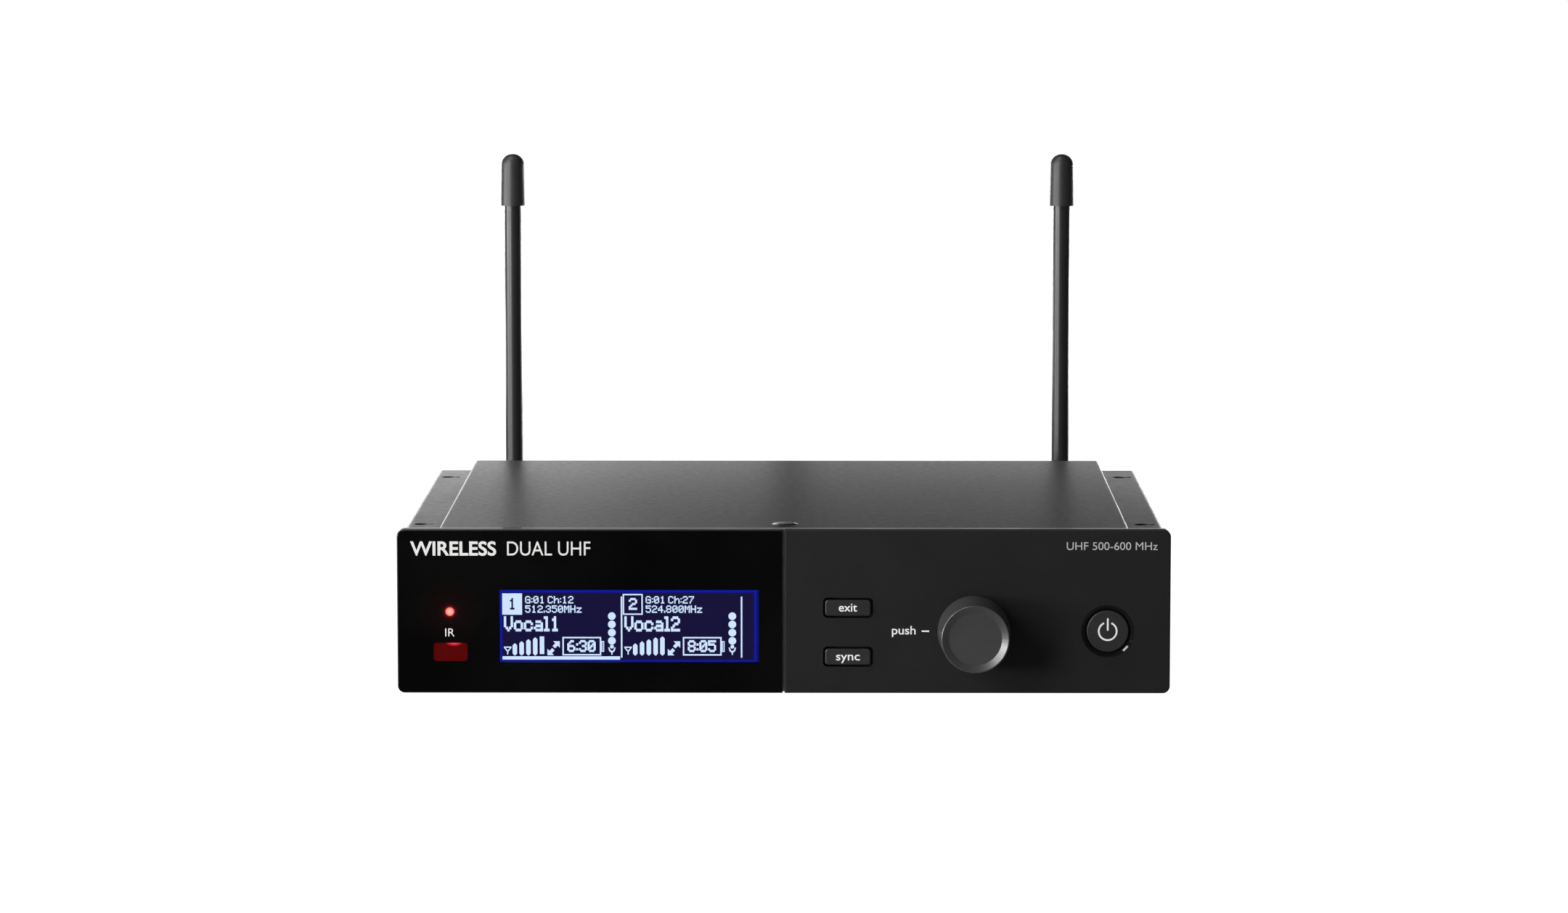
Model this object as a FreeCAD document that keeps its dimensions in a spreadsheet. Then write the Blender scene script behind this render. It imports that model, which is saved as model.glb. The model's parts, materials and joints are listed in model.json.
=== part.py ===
"""Half-rack dual-channel wireless receiver, modelled as an assembly of separate named pieces.

Working frame: X to the right, Y from the front panel's face to the back, Z up from the panel's
lower edge. Every piece is then moved so that the feet stand on Z = 0 and the whole unit, from the
knob's face to the antenna hinges, is centred on Y = 0.
"""
import FreeCAD, Part
import math
import operator
import os
import types
import Sketcher

# ---------------------------------------------------------------- driving dimensions (mm)
SIZES = {
    # outer body
    "panel_wide": 197.0, "panel_tall": 42.0, "corner_round": 1.8, "edge_bevel": 0.25,
    "body_deep": 152.0, "sheet": 1.0, "tray_wide": 197.0, "shelf_top": 39.1, "cover_wide": 176.2,
    "tray_fold": 1.4, "cover_fold": 0.95, "past": 1.0,
    "foot_tall": 1.8, "foot_round": 7.0, "foot_side": 22.0, "foot_near": 28.0, "foot_far": 20.0,
    # front panel stack, measured back from its face
    "fascia_thick": 2.5, "rim_deep": 3.8, "seam_left": -0.3, "seam_right": 0.25,
    "notch_across": -69.3, "notch_wide": 4.8, "notch_deep": 1.5, "notch_near": 2.9,
    "lip_deep": 5.0, "lip_thick": 1.6, "tab_wide": 14.0, "tab_deep": 14.0, "tab_thick": 2.6,
    "board_front": 13.0, "board_thick": 1.6, "upright_side": 4.0, "upright_low": 3.0,
    "upright_high": 36.6,
    # display, status light and infrared window
    "view_left": -72.46, "view_right": -6.27, "view_low": 7.67, "view_high": 26.55,
    "window_thick": 1.5, "glass_front": 2.6, "glass_thick": 1.8, "glow_thick": 2.6,
    "glass_margin": 1.8, "frame_lip": 1.6, "light_across": -85.08, "light_up": 20.93,
    "light_round": 1.1, "guide_back": 11.5, "infra_left": -89.26, "infra_right": -80.66,
    "infra_low": 8.2, "infra_high": 12.9, "infra_round": 0.85, "infra_inset": 0.8,
    # keys
    "key_across": 16.38, "exit_up": 22.0, "sync_up": 9.42, "key_wide": 11.6, "key_tall": 4.1,
    "key_round": 0.75, "key_soft": 0.35, "key_proud": 0.6, "key_back": 6.0, "well_wide": 12.7,
    "well_tall": 5.2, "well_round": 1.1, "key_flange": 1.1, "flange_front": 2.6,
    "flange_thick": 1.0, "stem_round": 1.5, "stem_back": 8.0, "switch_front": 9.1,
    "switch_side": 6.0, "frame_room": 2.4,
    # power key
    "power_across": 82.55, "axis_up": 16.0, "power_round": 5.35, "power_soft": 0.3,
    "ring_round": 6.75, "ring_bore": 5.65, "ring_slope": 0.8, "ring_edge": 0.15,
    "power_flange": 6.3, "power_switch_front": 9.9,
    # push encoder and knob
    "knob_across": 48.47, "knob_reach": 14.5, "knob_gap": 1.1, "knob_base": 9.3,
    "knob_nose": 8.6, "knob_disc": 6.7, "knob_dish": 0.9, "knob_soft": 0.25,
    "knob_hollow": 7.4, "knob_roof": 7.5, "hub_round": 4.6, "hub_gap": 1.1,
    "shaft_round": 3.0, "shaft_short": 1.6, "fit": 0.05, "bush_round": 3.5, "bush_reach": 4.0,
    "nut_flats": 10.0, "nut_thick": 2.0, "encoder_side": 12.4, "encoder_tail": 7.0,
    "plunger_round": 1.5, "pilot_round": 1.0, "pilot_long": 2.0, "pilot_gap": 0.3,
    "plunger_long": 4.4,
    # cover screw and shelf keyholes
    "screw_across": 0.3, "screw_behind": 11.6, "screw_head": 3.25, "screw_core": 1.5,
    "screw_long": 3.6, "screw_crown": 0.35, "crown_round": 2.2, "sink_room": 0.3,
    "cross_reach": 1.7, "cross_half": 0.35, "cross_deep": 0.7,
    "keyhole_round": 1.8, "keyhole_slot": 1.1, "keyhole_end": 0.85, "keyhole_reach": 3.55,
    "left_keyhole": -94.7, "right_keyhole": 93.05, "keyhole_near": 33.45, "keyhole_far": 136.15,
    # rear sockets
    "antenna_across": 78.5, "antenna_up": 27.0, "xlr_left": -8.0, "xlr_right": 34.0,
    "xlr_up": 21.0, "xlr_bore": 8.1, "xlr_barrel": 10.0, "xlr_flange": 26.0, "xlr_tall": 31.0,
    "xlr_corner": 2.5, "xlr_plate": 1.6, "xlr_depth": 15.0, "xlr_floor": 3.0, "xlr_recess": 0.5,
    "pin_round": 1.15, "pin_circle": 4.0, "pin_recess": 2.0, "fix_across": 9.5, "fix_up": 12.0,
    "line_left": 13.0, "line_right": 55.0, "line_up": 16.0, "line_bore": 3.2,
    "line_sleeve": 4.75, "line_reach": 4.0, "line_depth": 32.0, "line_half": 7.0,
    "line_top": 24.0, "line_back": 2.0, "line_flats": 13.0, "line_nut": 2.2,
    "dc_across": -58.0, "dc_up": 14.0, "dc_bore": 2.8, "dc_pin": 1.0, "dc_wide": 9.0,
    "dc_tall": 12.0, "dc_long": 14.0, "dc_depth": 10.0, "dc_recess": 1.0,
    "net_across": -38.0, "net_wide": 16.0, "net_tall": 13.5, "net_deep": 16.0,
    "net_mouth": 11.8, "net_opening": 8.2, "net_sill": 3.0, "net_depth": 13.0,
    "latch_half": 3.0, "latch_deep": 1.6, "contact_pitch": 1.02, "contact_half": 0.2,
    "contact_tall": 1.0, "contact_far": 12.0, "contact_near": 3.0, "socket_proud": 0.8,
    "rear_screw": 2.7, "rear_screw_tall": 1.3, "rear_cross": 1.4, "rear_cross_half": 0.3,
    "rear_cross_floor": 0.6, "rear_screw_side": 92.0, "rear_screw_low": 6.0,
    "rear_screw_high": 33.0,
    # main board
    "board_wide": 184.0, "board_near": 18.0, "board_far": 146.0, "board_up": 6.0,
    "post_round": 3.0, "post_side": 6.0, "post_near": 8.0, "post_middle": 50.0,
    "post_far": 10.0, "board_screw": 2.8, "board_screw_tall": 1.6,
    "shield_wide": 38.0, "shield_deep": 44.0, "shield_tall": 11.0, "shield_skin": 0.5,
    "shield_across": 69.0, "shield_near": 76.0, "lead_round": 1.25, "lead_start": 9.0,
    "lead_drop": 6.0, "lead_end": 1.5,
    "ribbon_wide": 24.0, "ribbon_thick": 0.4, "ribbon_top": 24.0, "ribbon_first": 9.0,
    "ribbon_second": 16.0, "ribbon_low": 3.0, "ribbon_socket": 1.5,
    # antenna jack and bayonet coupling, measured along its axis from its inner end
    "jack_round": 4.8, "jack_bore": 4.1, "jack_inside": 8.0, "jack_reach": 11.0,
    "jack_body": 7.5, "jack_land": 9.8, "core_tail": 1.0, "core_face": 10.8,
    "core_nose": 2.4, "core_reach": 17.5, "core_skirt": 0.8, "antenna_flats": 14.5,
    "antenna_nut": 1.8, "lug_round": 0.9, "lug_reach": 5.6, "lug_behind": 9.0,
    "collar_round": 7.2, "collar_bore": 5.9, "collar_front": 2.3, "collar_back": 14.2,
    "collar_wall": 1.6, "collar_edge": 0.6, "collar_gap": 0.08, "groove_round": 0.65,
    "groove_out": 0.35, "groove_start": 3.0, "groove_long": 6.0, "neck_round": 4.8,
    "spigot_bore": 3.0, "spigot_front": 4.2,
    # antenna elbow and whip
    "whip_behind": 26.0, "elbow_round": 6.2, "elbow_front": 14.8, "elbow_back": 19.5,
    "fork_round": 4.6, "fork_side": 6.2, "fork_gap": 3.35, "fork_floor": 0.8,
    "hinge_round": 1.25, "tongue_round": 4.2, "tongue_half": 3.0, "tongue_neck": 2.9,
    "socket_round": 3.4, "socket_base": 5.2, "socket_tall": 11.2, "whip_round": 2.425,
    "whip_base": 6.0, "tip_low": 112.45, "tip_high": 127.1, "tip_wide": 3.45,
    "tip_narrow": 3.15, "tip_dome": 3.05,
}


class Size:
    """A length that carries both its number and the sheet formula that gives it."""

    def __init__(self, number, formula):
        self.number = float(number)
        self.formula = formula

    def __add__(self, other):
        return combine(self, "+", other)

    def __radd__(self, other):
        return combine(other, "+", self)

    def __sub__(self, other):
        return combine(self, "-", other)

    def __rsub__(self, other):
        return combine(other, "-", self)

    def __mul__(self, other):
        return combine(self, "*", other)

    def __rmul__(self, other):
        return combine(other, "*", self)

    def __truediv__(self, other):
        return combine(self, "/", other)

    def __neg__(self):
        return combine(0, "-", self)


OPERATIONS = {"+": operator.add, "-": operator.sub, "*": operator.mul, "/": operator.truediv}


def as_size(value):
    """A Size from a Size or a plain number."""
    return value if isinstance(value, Size) else Size(value, repr(float(value)))


def combine(left, sign, right):
    """The Size of two joined by one arithmetic sign."""
    left, right = as_size(left), as_size(right)
    number = OPERATIONS[sign](left.number, right.number)
    return Size(number, f"({left.formula} {sign} {right.formula})")


doc = FreeCAD.newDocument("receiver")
sheet = doc.addObject("Spreadsheet::Sheet", "dims")
for row, (alias, millimetres) in enumerate(SIZES.items(), start=1):
    sheet.set(f"A{row}", alias)
    sheet.set(f"B{row}", str(millimetres))
    sheet.setAlias(f"B{row}", alias)
doc.recompute()
D = types.SimpleNamespace(**{alias: Size(number, f"dims.{alias}") for alias, number in SIZES.items()})

HALF_WIDE = D.panel_wide / 2
HALF_TRAY = D.tray_wide / 2
HALF_COVER = D.cover_wide / 2
HINGE_REACH = D.body_deep + D.whip_behind + D.fork_round
SHIFT = (as_size(0), (D.knob_reach - HINGE_REACH) / 2, D.foot_tall)
BOARD_TOP = D.board_up + D.board_thick
FACING = {"up": (0, 0, 1), "back": (0, 1, 0), "front": (0, -1, 0), "right": (1, 0, 0)}
NODES = []

# parts that stand on the main board: place across, place behind the panel, then their size
CHIPS = [  # side of the square, height
    (0, 70, 17, 1.6), (-26, 62, 12, 1.4), (28, 60, 12, 1.4), (-69, 98, 9, 1.2), (69, 98, 9, 1.2),
    (-40, 98, 8, 1.4), (44, 98, 8, 1.4), (4, 98, 7, 1.2),
]
CAPACITORS = [  # radius, height
    (-58, 40, 5, 12), (-46, 40, 5, 12), (-34, 40, 4, 10), (-20, 112, 3.2, 8), (22, 112, 3.2, 8),
    (56, 40, 4, 10), (66, 40, 4, 10),
]


# ---------------------------------------------------------------- modelling helpers
def place(piece, spot=(0, 0, 0), facing="up"):
    """Put a piece's origin at a spot of the working frame, its own Z turned to face a way."""
    turn = FreeCAD.Rotation(FreeCAD.Vector(0, 0, 1), FreeCAD.Vector(*FACING[facing]))
    piece.Placement = FreeCAD.Placement(FreeCAD.Vector(0, 0, 0), turn)
    for axis, along, shift in zip("xyz", spot, SHIFT):
        piece.setExpression(f"Placement.Base.{axis}", (along + shift).formula)
    return piece


def node(piece, label):
    """Name a finished sub-part, so that it is checked and written at the end."""
    piece.Label = label
    NODES.append(piece)
    return piece


def box(low, high):
    """A Part::Box between two corners of the working frame."""
    piece = doc.addObject("Part::Box", "box")
    for side, near, far in zip(("Length", "Width", "Height"), low, high):
        piece.setExpression(side, (as_size(far) - near).formula)
    return place(piece, low)


def rod(radius, spot, length, facing="up"):
    """A Part::Cylinder that starts at a spot and runs the way it faces."""
    piece = doc.addObject("Part::Cylinder", "rod")
    piece.setExpression("Radius", as_size(radius).formula)
    piece.setExpression("Height", as_size(length).formula)
    return place(piece, spot, facing)


def cone(start_radius, end_radius, spot, length, facing="up"):
    """A Part::Cone that starts at a spot and runs the way it faces."""
    piece = doc.addObject("Part::Cone", "cone")
    piece.setExpression("Radius1", as_size(start_radius).formula)
    piece.setExpression("Radius2", as_size(end_radius).formula)
    piece.setExpression("Height", as_size(length).formula)
    return place(piece, spot, facing)


def fuse(*pieces):
    """One solid from several that touch."""
    piece = doc.addObject("Part::MultiFuse", "fuse")
    piece.Shapes = list(pieces)
    piece.Refine = True
    return piece


def group(*pieces):
    """Separate solids kept as one sub-part."""
    piece = doc.addObject("Part::Compound", "group")
    piece.Links = list(pieces)
    return piece


def cut(base, *tools):
    """A base with every tool taken away."""
    piece = doc.addObject("Part::Cut", "cut")
    piece.Base = base
    piece.Tool = tools[0] if len(tools) == 1 else group(*tools)
    return piece


def new_body(name):
    """An empty PartDesign body."""
    return doc.addObject("PartDesign::Body", name)


def outline(body, role, points):
    """A closed sketch of straight runs on one of the body's origin planes, each corner driven."""
    sketch = body.newObject("Sketcher::SketchObject", body.Name + "_sketch")
    plane = next(item for item in body.Origin.OriginFeatures if item.Role == role)
    sketch.AttachmentSupport = [(plane, "")]
    sketch.MapMode = "FlatFace"
    corners = [(as_size(across), as_size(along)) for across, along in points]
    spots = [FreeCAD.Vector(across.number, along.number, 0) for across, along in corners]
    count = len(spots)
    for index in range(count):
        sketch.addGeometry(Part.LineSegment(spots[index], spots[(index + 1) % count]))
    for index in range(count):
        sketch.addConstraint(Sketcher.Constraint("Coincident", index, 2, (index + 1) % count, 1))
    for index, corner in enumerate(corners):
        for kind, axis_line, size in zip(("DistanceX", "DistanceY"), (-2, -1), corner):
            if abs(size.number) < 1e-9:
                sketch.addConstraint(Sketcher.Constraint("PointOnObject", index, 1, axis_line))
            else:
                made = sketch.addConstraint(Sketcher.Constraint(kind, -1, 1, index, 1, size.number))
                sketch.setExpression(f"Constraints[{made}]", size.formula)
    return sketch


def dress(body, kind, size, chooser):
    """Round or bevel the edges of the body's tip that the chooser picks."""
    doc.recompute()
    tip = body.Tip
    names = [f"Edge{number}" for number, edge in enumerate(tip.Shape.Edges, start=1) if chooser(edge)]
    if not names:
        raise ValueError(f"{body.Name}: no edge to dress")
    feature = body.newObject(f"PartDesign::{kind}", f"{body.Name}_{kind.lower()}")
    feature.Base = (tip, names)
    feature.setExpression("Radius" if kind == "Fillet" else "Size", as_size(size).formula)
    return feature


def runs_along(axis, test=lambda middle: True):
    """A chooser of straight edges along an axis whose middle passes a test."""
    way = FreeCAD.Vector(*axis)

    def chooser(edge):
        if not isinstance(edge.Curve, Part.Line):
            return False
        straight = abs(abs(edge.tangentAt(edge.FirstParameter).dot(way)) - 1) < 1e-6
        return straight and test(edge.CenterOfMass)
    return chooser


def ring_at(along, radius):
    """A chooser of the circular edge at a height along a turned piece's axis."""
    height, reach = as_size(along).number, as_size(radius).number

    def chooser(edge):
        if not isinstance(edge.Curve, Part.Circle):
            return False
        return abs(edge.Curve.Center.z - height) < 1e-4 and abs(edge.Curve.Radius - reach) < 1e-4
    return chooser


def folded(name, points, near, far):
    """A bent sheet: a cross-section in XZ, run from near to far along Y."""
    body = new_body(name)
    sketch = outline(body, "XZ_Plane", points)
    pad = body.newObject("PartDesign::Pad", name + "_pad")
    pad.Profile = sketch
    pad.Reversed = True
    pad.setExpression("Length", (as_size(far) - near).formula)
    return place(body, (0, near, 0))


def plate(name, left, right, low, high, front, back):
    """A flat plate that faces forwards, ready for rounding; its own Y starts at its front."""
    return folded(name, [(left, low), (right, low), (right, high), (left, high)], front, back)


def turned(name, points, spot, facing="up"):
    """A turned piece from (radius, along) points, its axis through a spot and facing a way."""
    body = new_body(name)
    sketch = outline(body, "XZ_Plane", points)
    spin = body.newObject("PartDesign::Revolution", name + "_spin")
    spin.Profile = sketch
    spin.ReferenceAxis = (sketch, ["V_Axis"])
    spin.Angle = 360.0
    return place(body, spot, facing)


def hexagon(flats, spot, thick, facing):
    """A six-sided prism, flats wide."""
    piece = doc.addObject("Part::Prism", "hexagon")
    piece.Polygon = 6
    piece.setExpression("Circumradius", (flats / math.sqrt(3)).formula)
    piece.setExpression("Height", as_size(thick).formula)
    return place(piece, spot, facing)


def rounded_box(name, left, right, low, high, front, back, radius):
    """A plate with its four corners rounded as seen from the front."""
    body = plate(name, left, right, low, high, front, back)
    dress(body, "Fillet", radius, runs_along((0, 1, 0)))
    return body


# ---------------------------------------------------------------- sheet-metal housing
def keyhole(across, behind):
    """A cutter for one keyhole: a round entry, and a narrow slot to the right with a round end."""
    low = D.shelf_top - 2 * D.sheet
    entry = rod(D.keyhole_round, (across, behind, low), 3 * D.sheet)
    half = D.keyhole_slot / 2
    reach = D.keyhole_reach - D.keyhole_end
    slot = box((across, behind - half, low), (across + reach, behind + half, low + 3 * D.sheet))
    end = rod(D.keyhole_end, (across + reach, behind, low), 3 * D.sheet)
    return fuse(entry, slot, end)


def chassis_tray():
    """Floor, side walls and the two lowered shelves, folded from one sheet."""
    inner = HALF_TRAY - D.sheet
    lip = HALF_COVER - D.sheet
    under = D.shelf_top - D.sheet
    points = [(-lip, D.shelf_top), (-HALF_TRAY, D.shelf_top), (-HALF_TRAY, 0), (HALF_TRAY, 0),
              (HALF_TRAY, D.shelf_top), (lip, D.shelf_top), (lip, under), (inner, under),
              (inner, D.sheet), (-inner, D.sheet), (-inner, under), (-lip, under)]
    body = folded("tray", points, D.rim_deep, D.body_deep)
    edge = HALF_TRAY.number - 0.01
    dress(body, "Fillet", D.tray_fold, runs_along((0, 1, 0), lambda middle: abs(middle.x) > edge))
    holes = [keyhole(across, behind) for across in (D.left_keyhole, D.right_keyhole)
             for behind in (D.keyhole_near, D.keyhole_far)]
    node(cut(body, *holes), "chassis_tray")


def top_cover():
    """Raised centre cover with folded sides and one countersunk screw hole."""
    inner = HALF_COVER - D.sheet
    under = D.panel_tall - D.sheet
    points = [(-HALF_COVER, D.shelf_top), (-HALF_COVER, D.panel_tall), (HALF_COVER, D.panel_tall),
              (HALF_COVER, D.shelf_top), (inner, D.shelf_top), (inner, under), (-inner, under),
              (-inner, D.shelf_top)]
    body = folded("cover", points, D.rim_deep, D.body_deep)
    edge = HALF_COVER.number - 0.01
    far = D.body_deep.number - D.rim_deep.number - 0.01

    def outer_fold(middle):
        return abs(middle.x) > edge and middle.z > SIZES["panel_tall"] - 0.01

    dress(body, "Fillet", D.cover_fold, runs_along((0, 1, 0), outer_fold))
    dress(body, "Fillet", D.cover_fold,
          runs_along((0, 0, 1), lambda middle: abs(middle.x) > edge and middle.y > far))
    wide = D.screw_head + D.sink_room
    sink = cone(wide - D.sheet, wide, (D.screw_across, D.screw_behind, under), D.sheet)
    node(cut(body, sink), "top_cover")


def rear_panel():
    """Back wall that closes the tray and the cover, pierced for the sockets."""
    side = HALF_TRAY - D.sheet
    neck = HALF_COVER - D.sheet
    shoulder = D.shelf_top - D.sheet
    top = D.panel_tall - D.sheet
    points = [(-side, D.sheet), (side, D.sheet), (side, shoulder), (neck, shoulder), (neck, top),
              (-neck, top), (-neck, shoulder), (-side, shoulder)]
    front, back = D.body_deep - D.sheet, D.body_deep
    body = folded("rear", points, front, back)
    rounds = [(D.xlr_barrel, D.xlr_left, D.xlr_up), (D.xlr_barrel, D.xlr_right, D.xlr_up),
              (D.line_sleeve, D.line_left, D.line_up), (D.line_sleeve, D.line_right, D.line_up),
              (D.lug_reach, -D.antenna_across, D.antenna_up),
              (D.lug_reach, D.antenna_across, D.antenna_up)]
    holes = [rod(radius, (across, front - D.past, up), D.sheet + 2 * D.past, "back")
             for radius, across, up in rounds]
    for across, wide, tall in ((D.dc_across, D.dc_wide, D.dc_tall),
                               (D.net_across, D.net_wide, D.net_tall)):
        holes.append(box((across - wide / 2, front - D.past, BOARD_TOP),
                         (across + wide / 2, back + D.past, BOARD_TOP + tall)))
    node(cut(body, *holes), "rear_panel")


def feet():
    """Four rubber pads under the tray."""
    pads = [rod(D.foot_round, (side * (HALF_TRAY - D.foot_side), behind, -D.foot_tall), D.foot_tall)
            for side in (-1, 1) for behind in (D.foot_near, D.body_deep - D.foot_far)]
    node(group(*pads), "rubber_feet")


def front_frame():
    """Bezel behind both fascias, with a lip inside the tray and a tab for the cover's screw."""
    body = plate("bezel", -HALF_WIDE, HALF_WIDE, 0, D.panel_tall, D.fascia_thick, D.rim_deep)
    dress(body, "Fillet", D.corner_round, runs_along((0, 1, 0)))
    side, top = HALF_TRAY - D.sheet, D.shelf_top - D.sheet
    start, end = D.rim_deep - D.past, D.rim_deep + D.lip_deep
    lip = cut(box((-side, start, D.sheet), (side, end, top)),
              box((-side + D.lip_thick, D.rim_deep, D.sheet + D.lip_thick),
                  (side - D.lip_thick, end + D.past, top - D.lip_thick)))
    under = D.panel_tall - D.sheet
    tab = box((D.screw_across - D.tab_wide / 2, start, under - D.tab_thick),
              (D.screw_across + D.tab_wide / 2, D.rim_deep + D.tab_deep, under))
    front, back = D.fascia_thick - D.past, D.rim_deep + D.past
    deep = back - front
    margin = D.glass_margin + D.frame_lip
    key_side = D.key_wide / 2 + D.frame_room
    tools = [
        box((D.view_left - margin, front, D.view_low - margin),
            (D.view_right + margin, back, D.view_high + margin)),
        rod(D.light_round, (D.light_across, front, D.light_up), deep, "back"),
        box((D.infra_left, front, D.infra_low), (D.infra_right, back, D.infra_high)),
        box((D.key_across - key_side, front, D.sync_up - D.key_tall / 2 - D.frame_room),
            (D.key_across + key_side, back, D.exit_up + D.key_tall / 2 + D.frame_room)),
        rod(D.bush_round, (D.knob_across, front, D.axis_up), deep, "back"),
        rod(D.ring_round + D.past, (D.power_across, front, D.axis_up), deep, "back"),
        box((D.notch_across - D.notch_wide / 2, D.notch_near, D.panel_tall - D.notch_deep),
            (D.notch_across + D.notch_wide / 2, back, D.panel_tall + D.past)),
        rod(D.screw_core, (D.screw_across, D.screw_behind, under - D.tab_thick - D.past),
            D.tab_thick + 2 * D.past),
    ]
    node(cut(fuse(body, lip, tab), *tools), "front_frame")


# ---------------------------------------------------------------- fascias and display
def fascia(name, left, right, outer_side):
    """A fascia blank: rounded outer corners and a fine bevel round its face."""
    body = plate(name, left, right, 0, D.panel_tall, 0, D.fascia_thick)
    dress(body, "Fillet", D.corner_round,
          runs_along((0, 1, 0), lambda middle: middle.x * outer_side > HALF_WIDE.number - 0.01))
    dress(body, "Chamfer", D.edge_bevel, lambda edge: edge.BoundBox.YMax < 1e-6)
    return body


def left_fascia():
    """Gloss black fascia with openings for the display, the light and the infrared window."""
    body = fascia("gloss", -HALF_WIDE, D.seam_left, -1)
    front, back = -D.past, D.fascia_thick + D.past
    view = box((D.view_left, front, D.view_low), (D.view_right, back, D.view_high))
    light = rod(D.light_round, (D.light_across, front, D.light_up), back - front, "back")
    window = rounded_box("infra_hole", D.infra_left, D.infra_right, D.infra_low, D.infra_high,
                         front, back, D.infra_round)
    node(cut(body, view, light, window), "left_fascia")
    node(rounded_box("infra_pane", D.infra_left, D.infra_right, D.infra_low, D.infra_high,
                     0, D.fascia_thick, D.infra_round), "infrared_window")
    node(box((D.view_left, 0, D.view_low), (D.view_right, D.window_thick, D.view_high)),
         "display_window")
    node(rod(D.light_round, (D.light_across, 0, D.light_up), D.guide_back, "back"),
         "status_light_guide")


def right_fascia():
    """Matte fascia with wells for the two keys, the encoder's bush and the power ring."""
    body = fascia("matte", D.seam_right, HALF_WIDE, 1)
    front, back = -D.past, D.fascia_thick + D.past
    wells = [rounded_box(name, D.key_across - D.well_wide / 2, D.key_across + D.well_wide / 2,
                         up - D.well_tall / 2, up + D.well_tall / 2, front, back, D.well_round)
             for name, up in (("exit_well", D.exit_up), ("sync_well", D.sync_up))]
    bush = rod(D.bush_round, (D.knob_across, front, D.axis_up), back - front, "back")
    ring = rod(D.ring_round, (D.power_across, front, D.axis_up), back - front, "back")
    node(cut(body, *wells, bush, ring), "right_fascia")
    points = [(D.ring_bore, D.ring_slope), (D.ring_round - D.ring_edge, 0), (D.ring_round, 0),
              (D.ring_round, D.fascia_thick), (D.ring_bore, D.fascia_thick)]
    node(turned("bright_ring", points, (D.power_across, 0, D.axis_up), "back"), "power_ring")


def display():
    """Glass, light panel and the frame that holds them behind the window."""
    left, right = D.view_left - D.glass_margin, D.view_right + D.glass_margin
    low, high = D.view_low - D.glass_margin, D.view_high + D.glass_margin
    middle = D.glass_front + D.glass_thick
    back = middle + D.glow_thick
    node(box((left, D.glass_front, low), (right, middle, high)), "display_glass")
    node(box((left, middle, low), (right, back, high)), "backlight_panel")
    lip = D.frame_lip
    shell = box((left - lip, D.glass_front, low - lip), (right + lip, back + lip, high + lip))
    room = box((left, D.glass_front - D.past, low), (right, back, high))
    node(cut(shell, room), "display_frame")


# ---------------------------------------------------------------- keys and knob
def menu_key(name, up):
    """A moulded key with a retaining flange and a stem."""
    left, right = D.key_across - D.key_wide / 2, D.key_across + D.key_wide / 2
    low, high = up - D.key_tall / 2, up + D.key_tall / 2
    cap = rounded_box(name + "_cap", left, right, low, high, -D.key_proud, D.key_back, D.key_round)
    dress(cap, "Fillet", D.key_soft, lambda edge: edge.BoundBox.YMax < 1e-6)
    wing = D.key_flange
    flange = box((left - wing, D.flange_front, low - wing),
                 (right + wing, D.flange_front + D.flange_thick, high + wing))
    start = D.key_back - D.past
    stem = rod(D.stem_round, (D.key_across, start, up), D.stem_back - start, "back")
    node(fuse(cap, flange, stem), name)


def power_key():
    """The round power key, flush with its ring."""
    flange_back = D.flange_front + D.flange_thick
    points = [(0, 0), (D.power_round, 0), (D.power_round, D.flange_front),
              (D.power_flange, D.flange_front), (D.power_flange, flange_back),
              (D.stem_round, flange_back), (D.stem_round, D.stem_back), (0, D.stem_back)]
    body = turned("power_cap", points, (D.power_across, 0, D.axis_up), "back")
    dress(body, "Fillet", D.power_soft, ring_at(0, D.power_round))
    node(body, "power_button")


def switches():
    """Push switches on the front board, behind the keys."""
    def switch(across, up, front):
        half = D.switch_side / 2
        return box((across - half, front, up - half), (across + half, D.board_front, up + half))
    node(group(switch(D.key_across, D.exit_up, D.switch_front),
               switch(D.key_across, D.sync_up, D.switch_front)), "menu_switches")
    node(switch(D.power_across, D.axis_up, D.power_switch_front), "power_switch")


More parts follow.
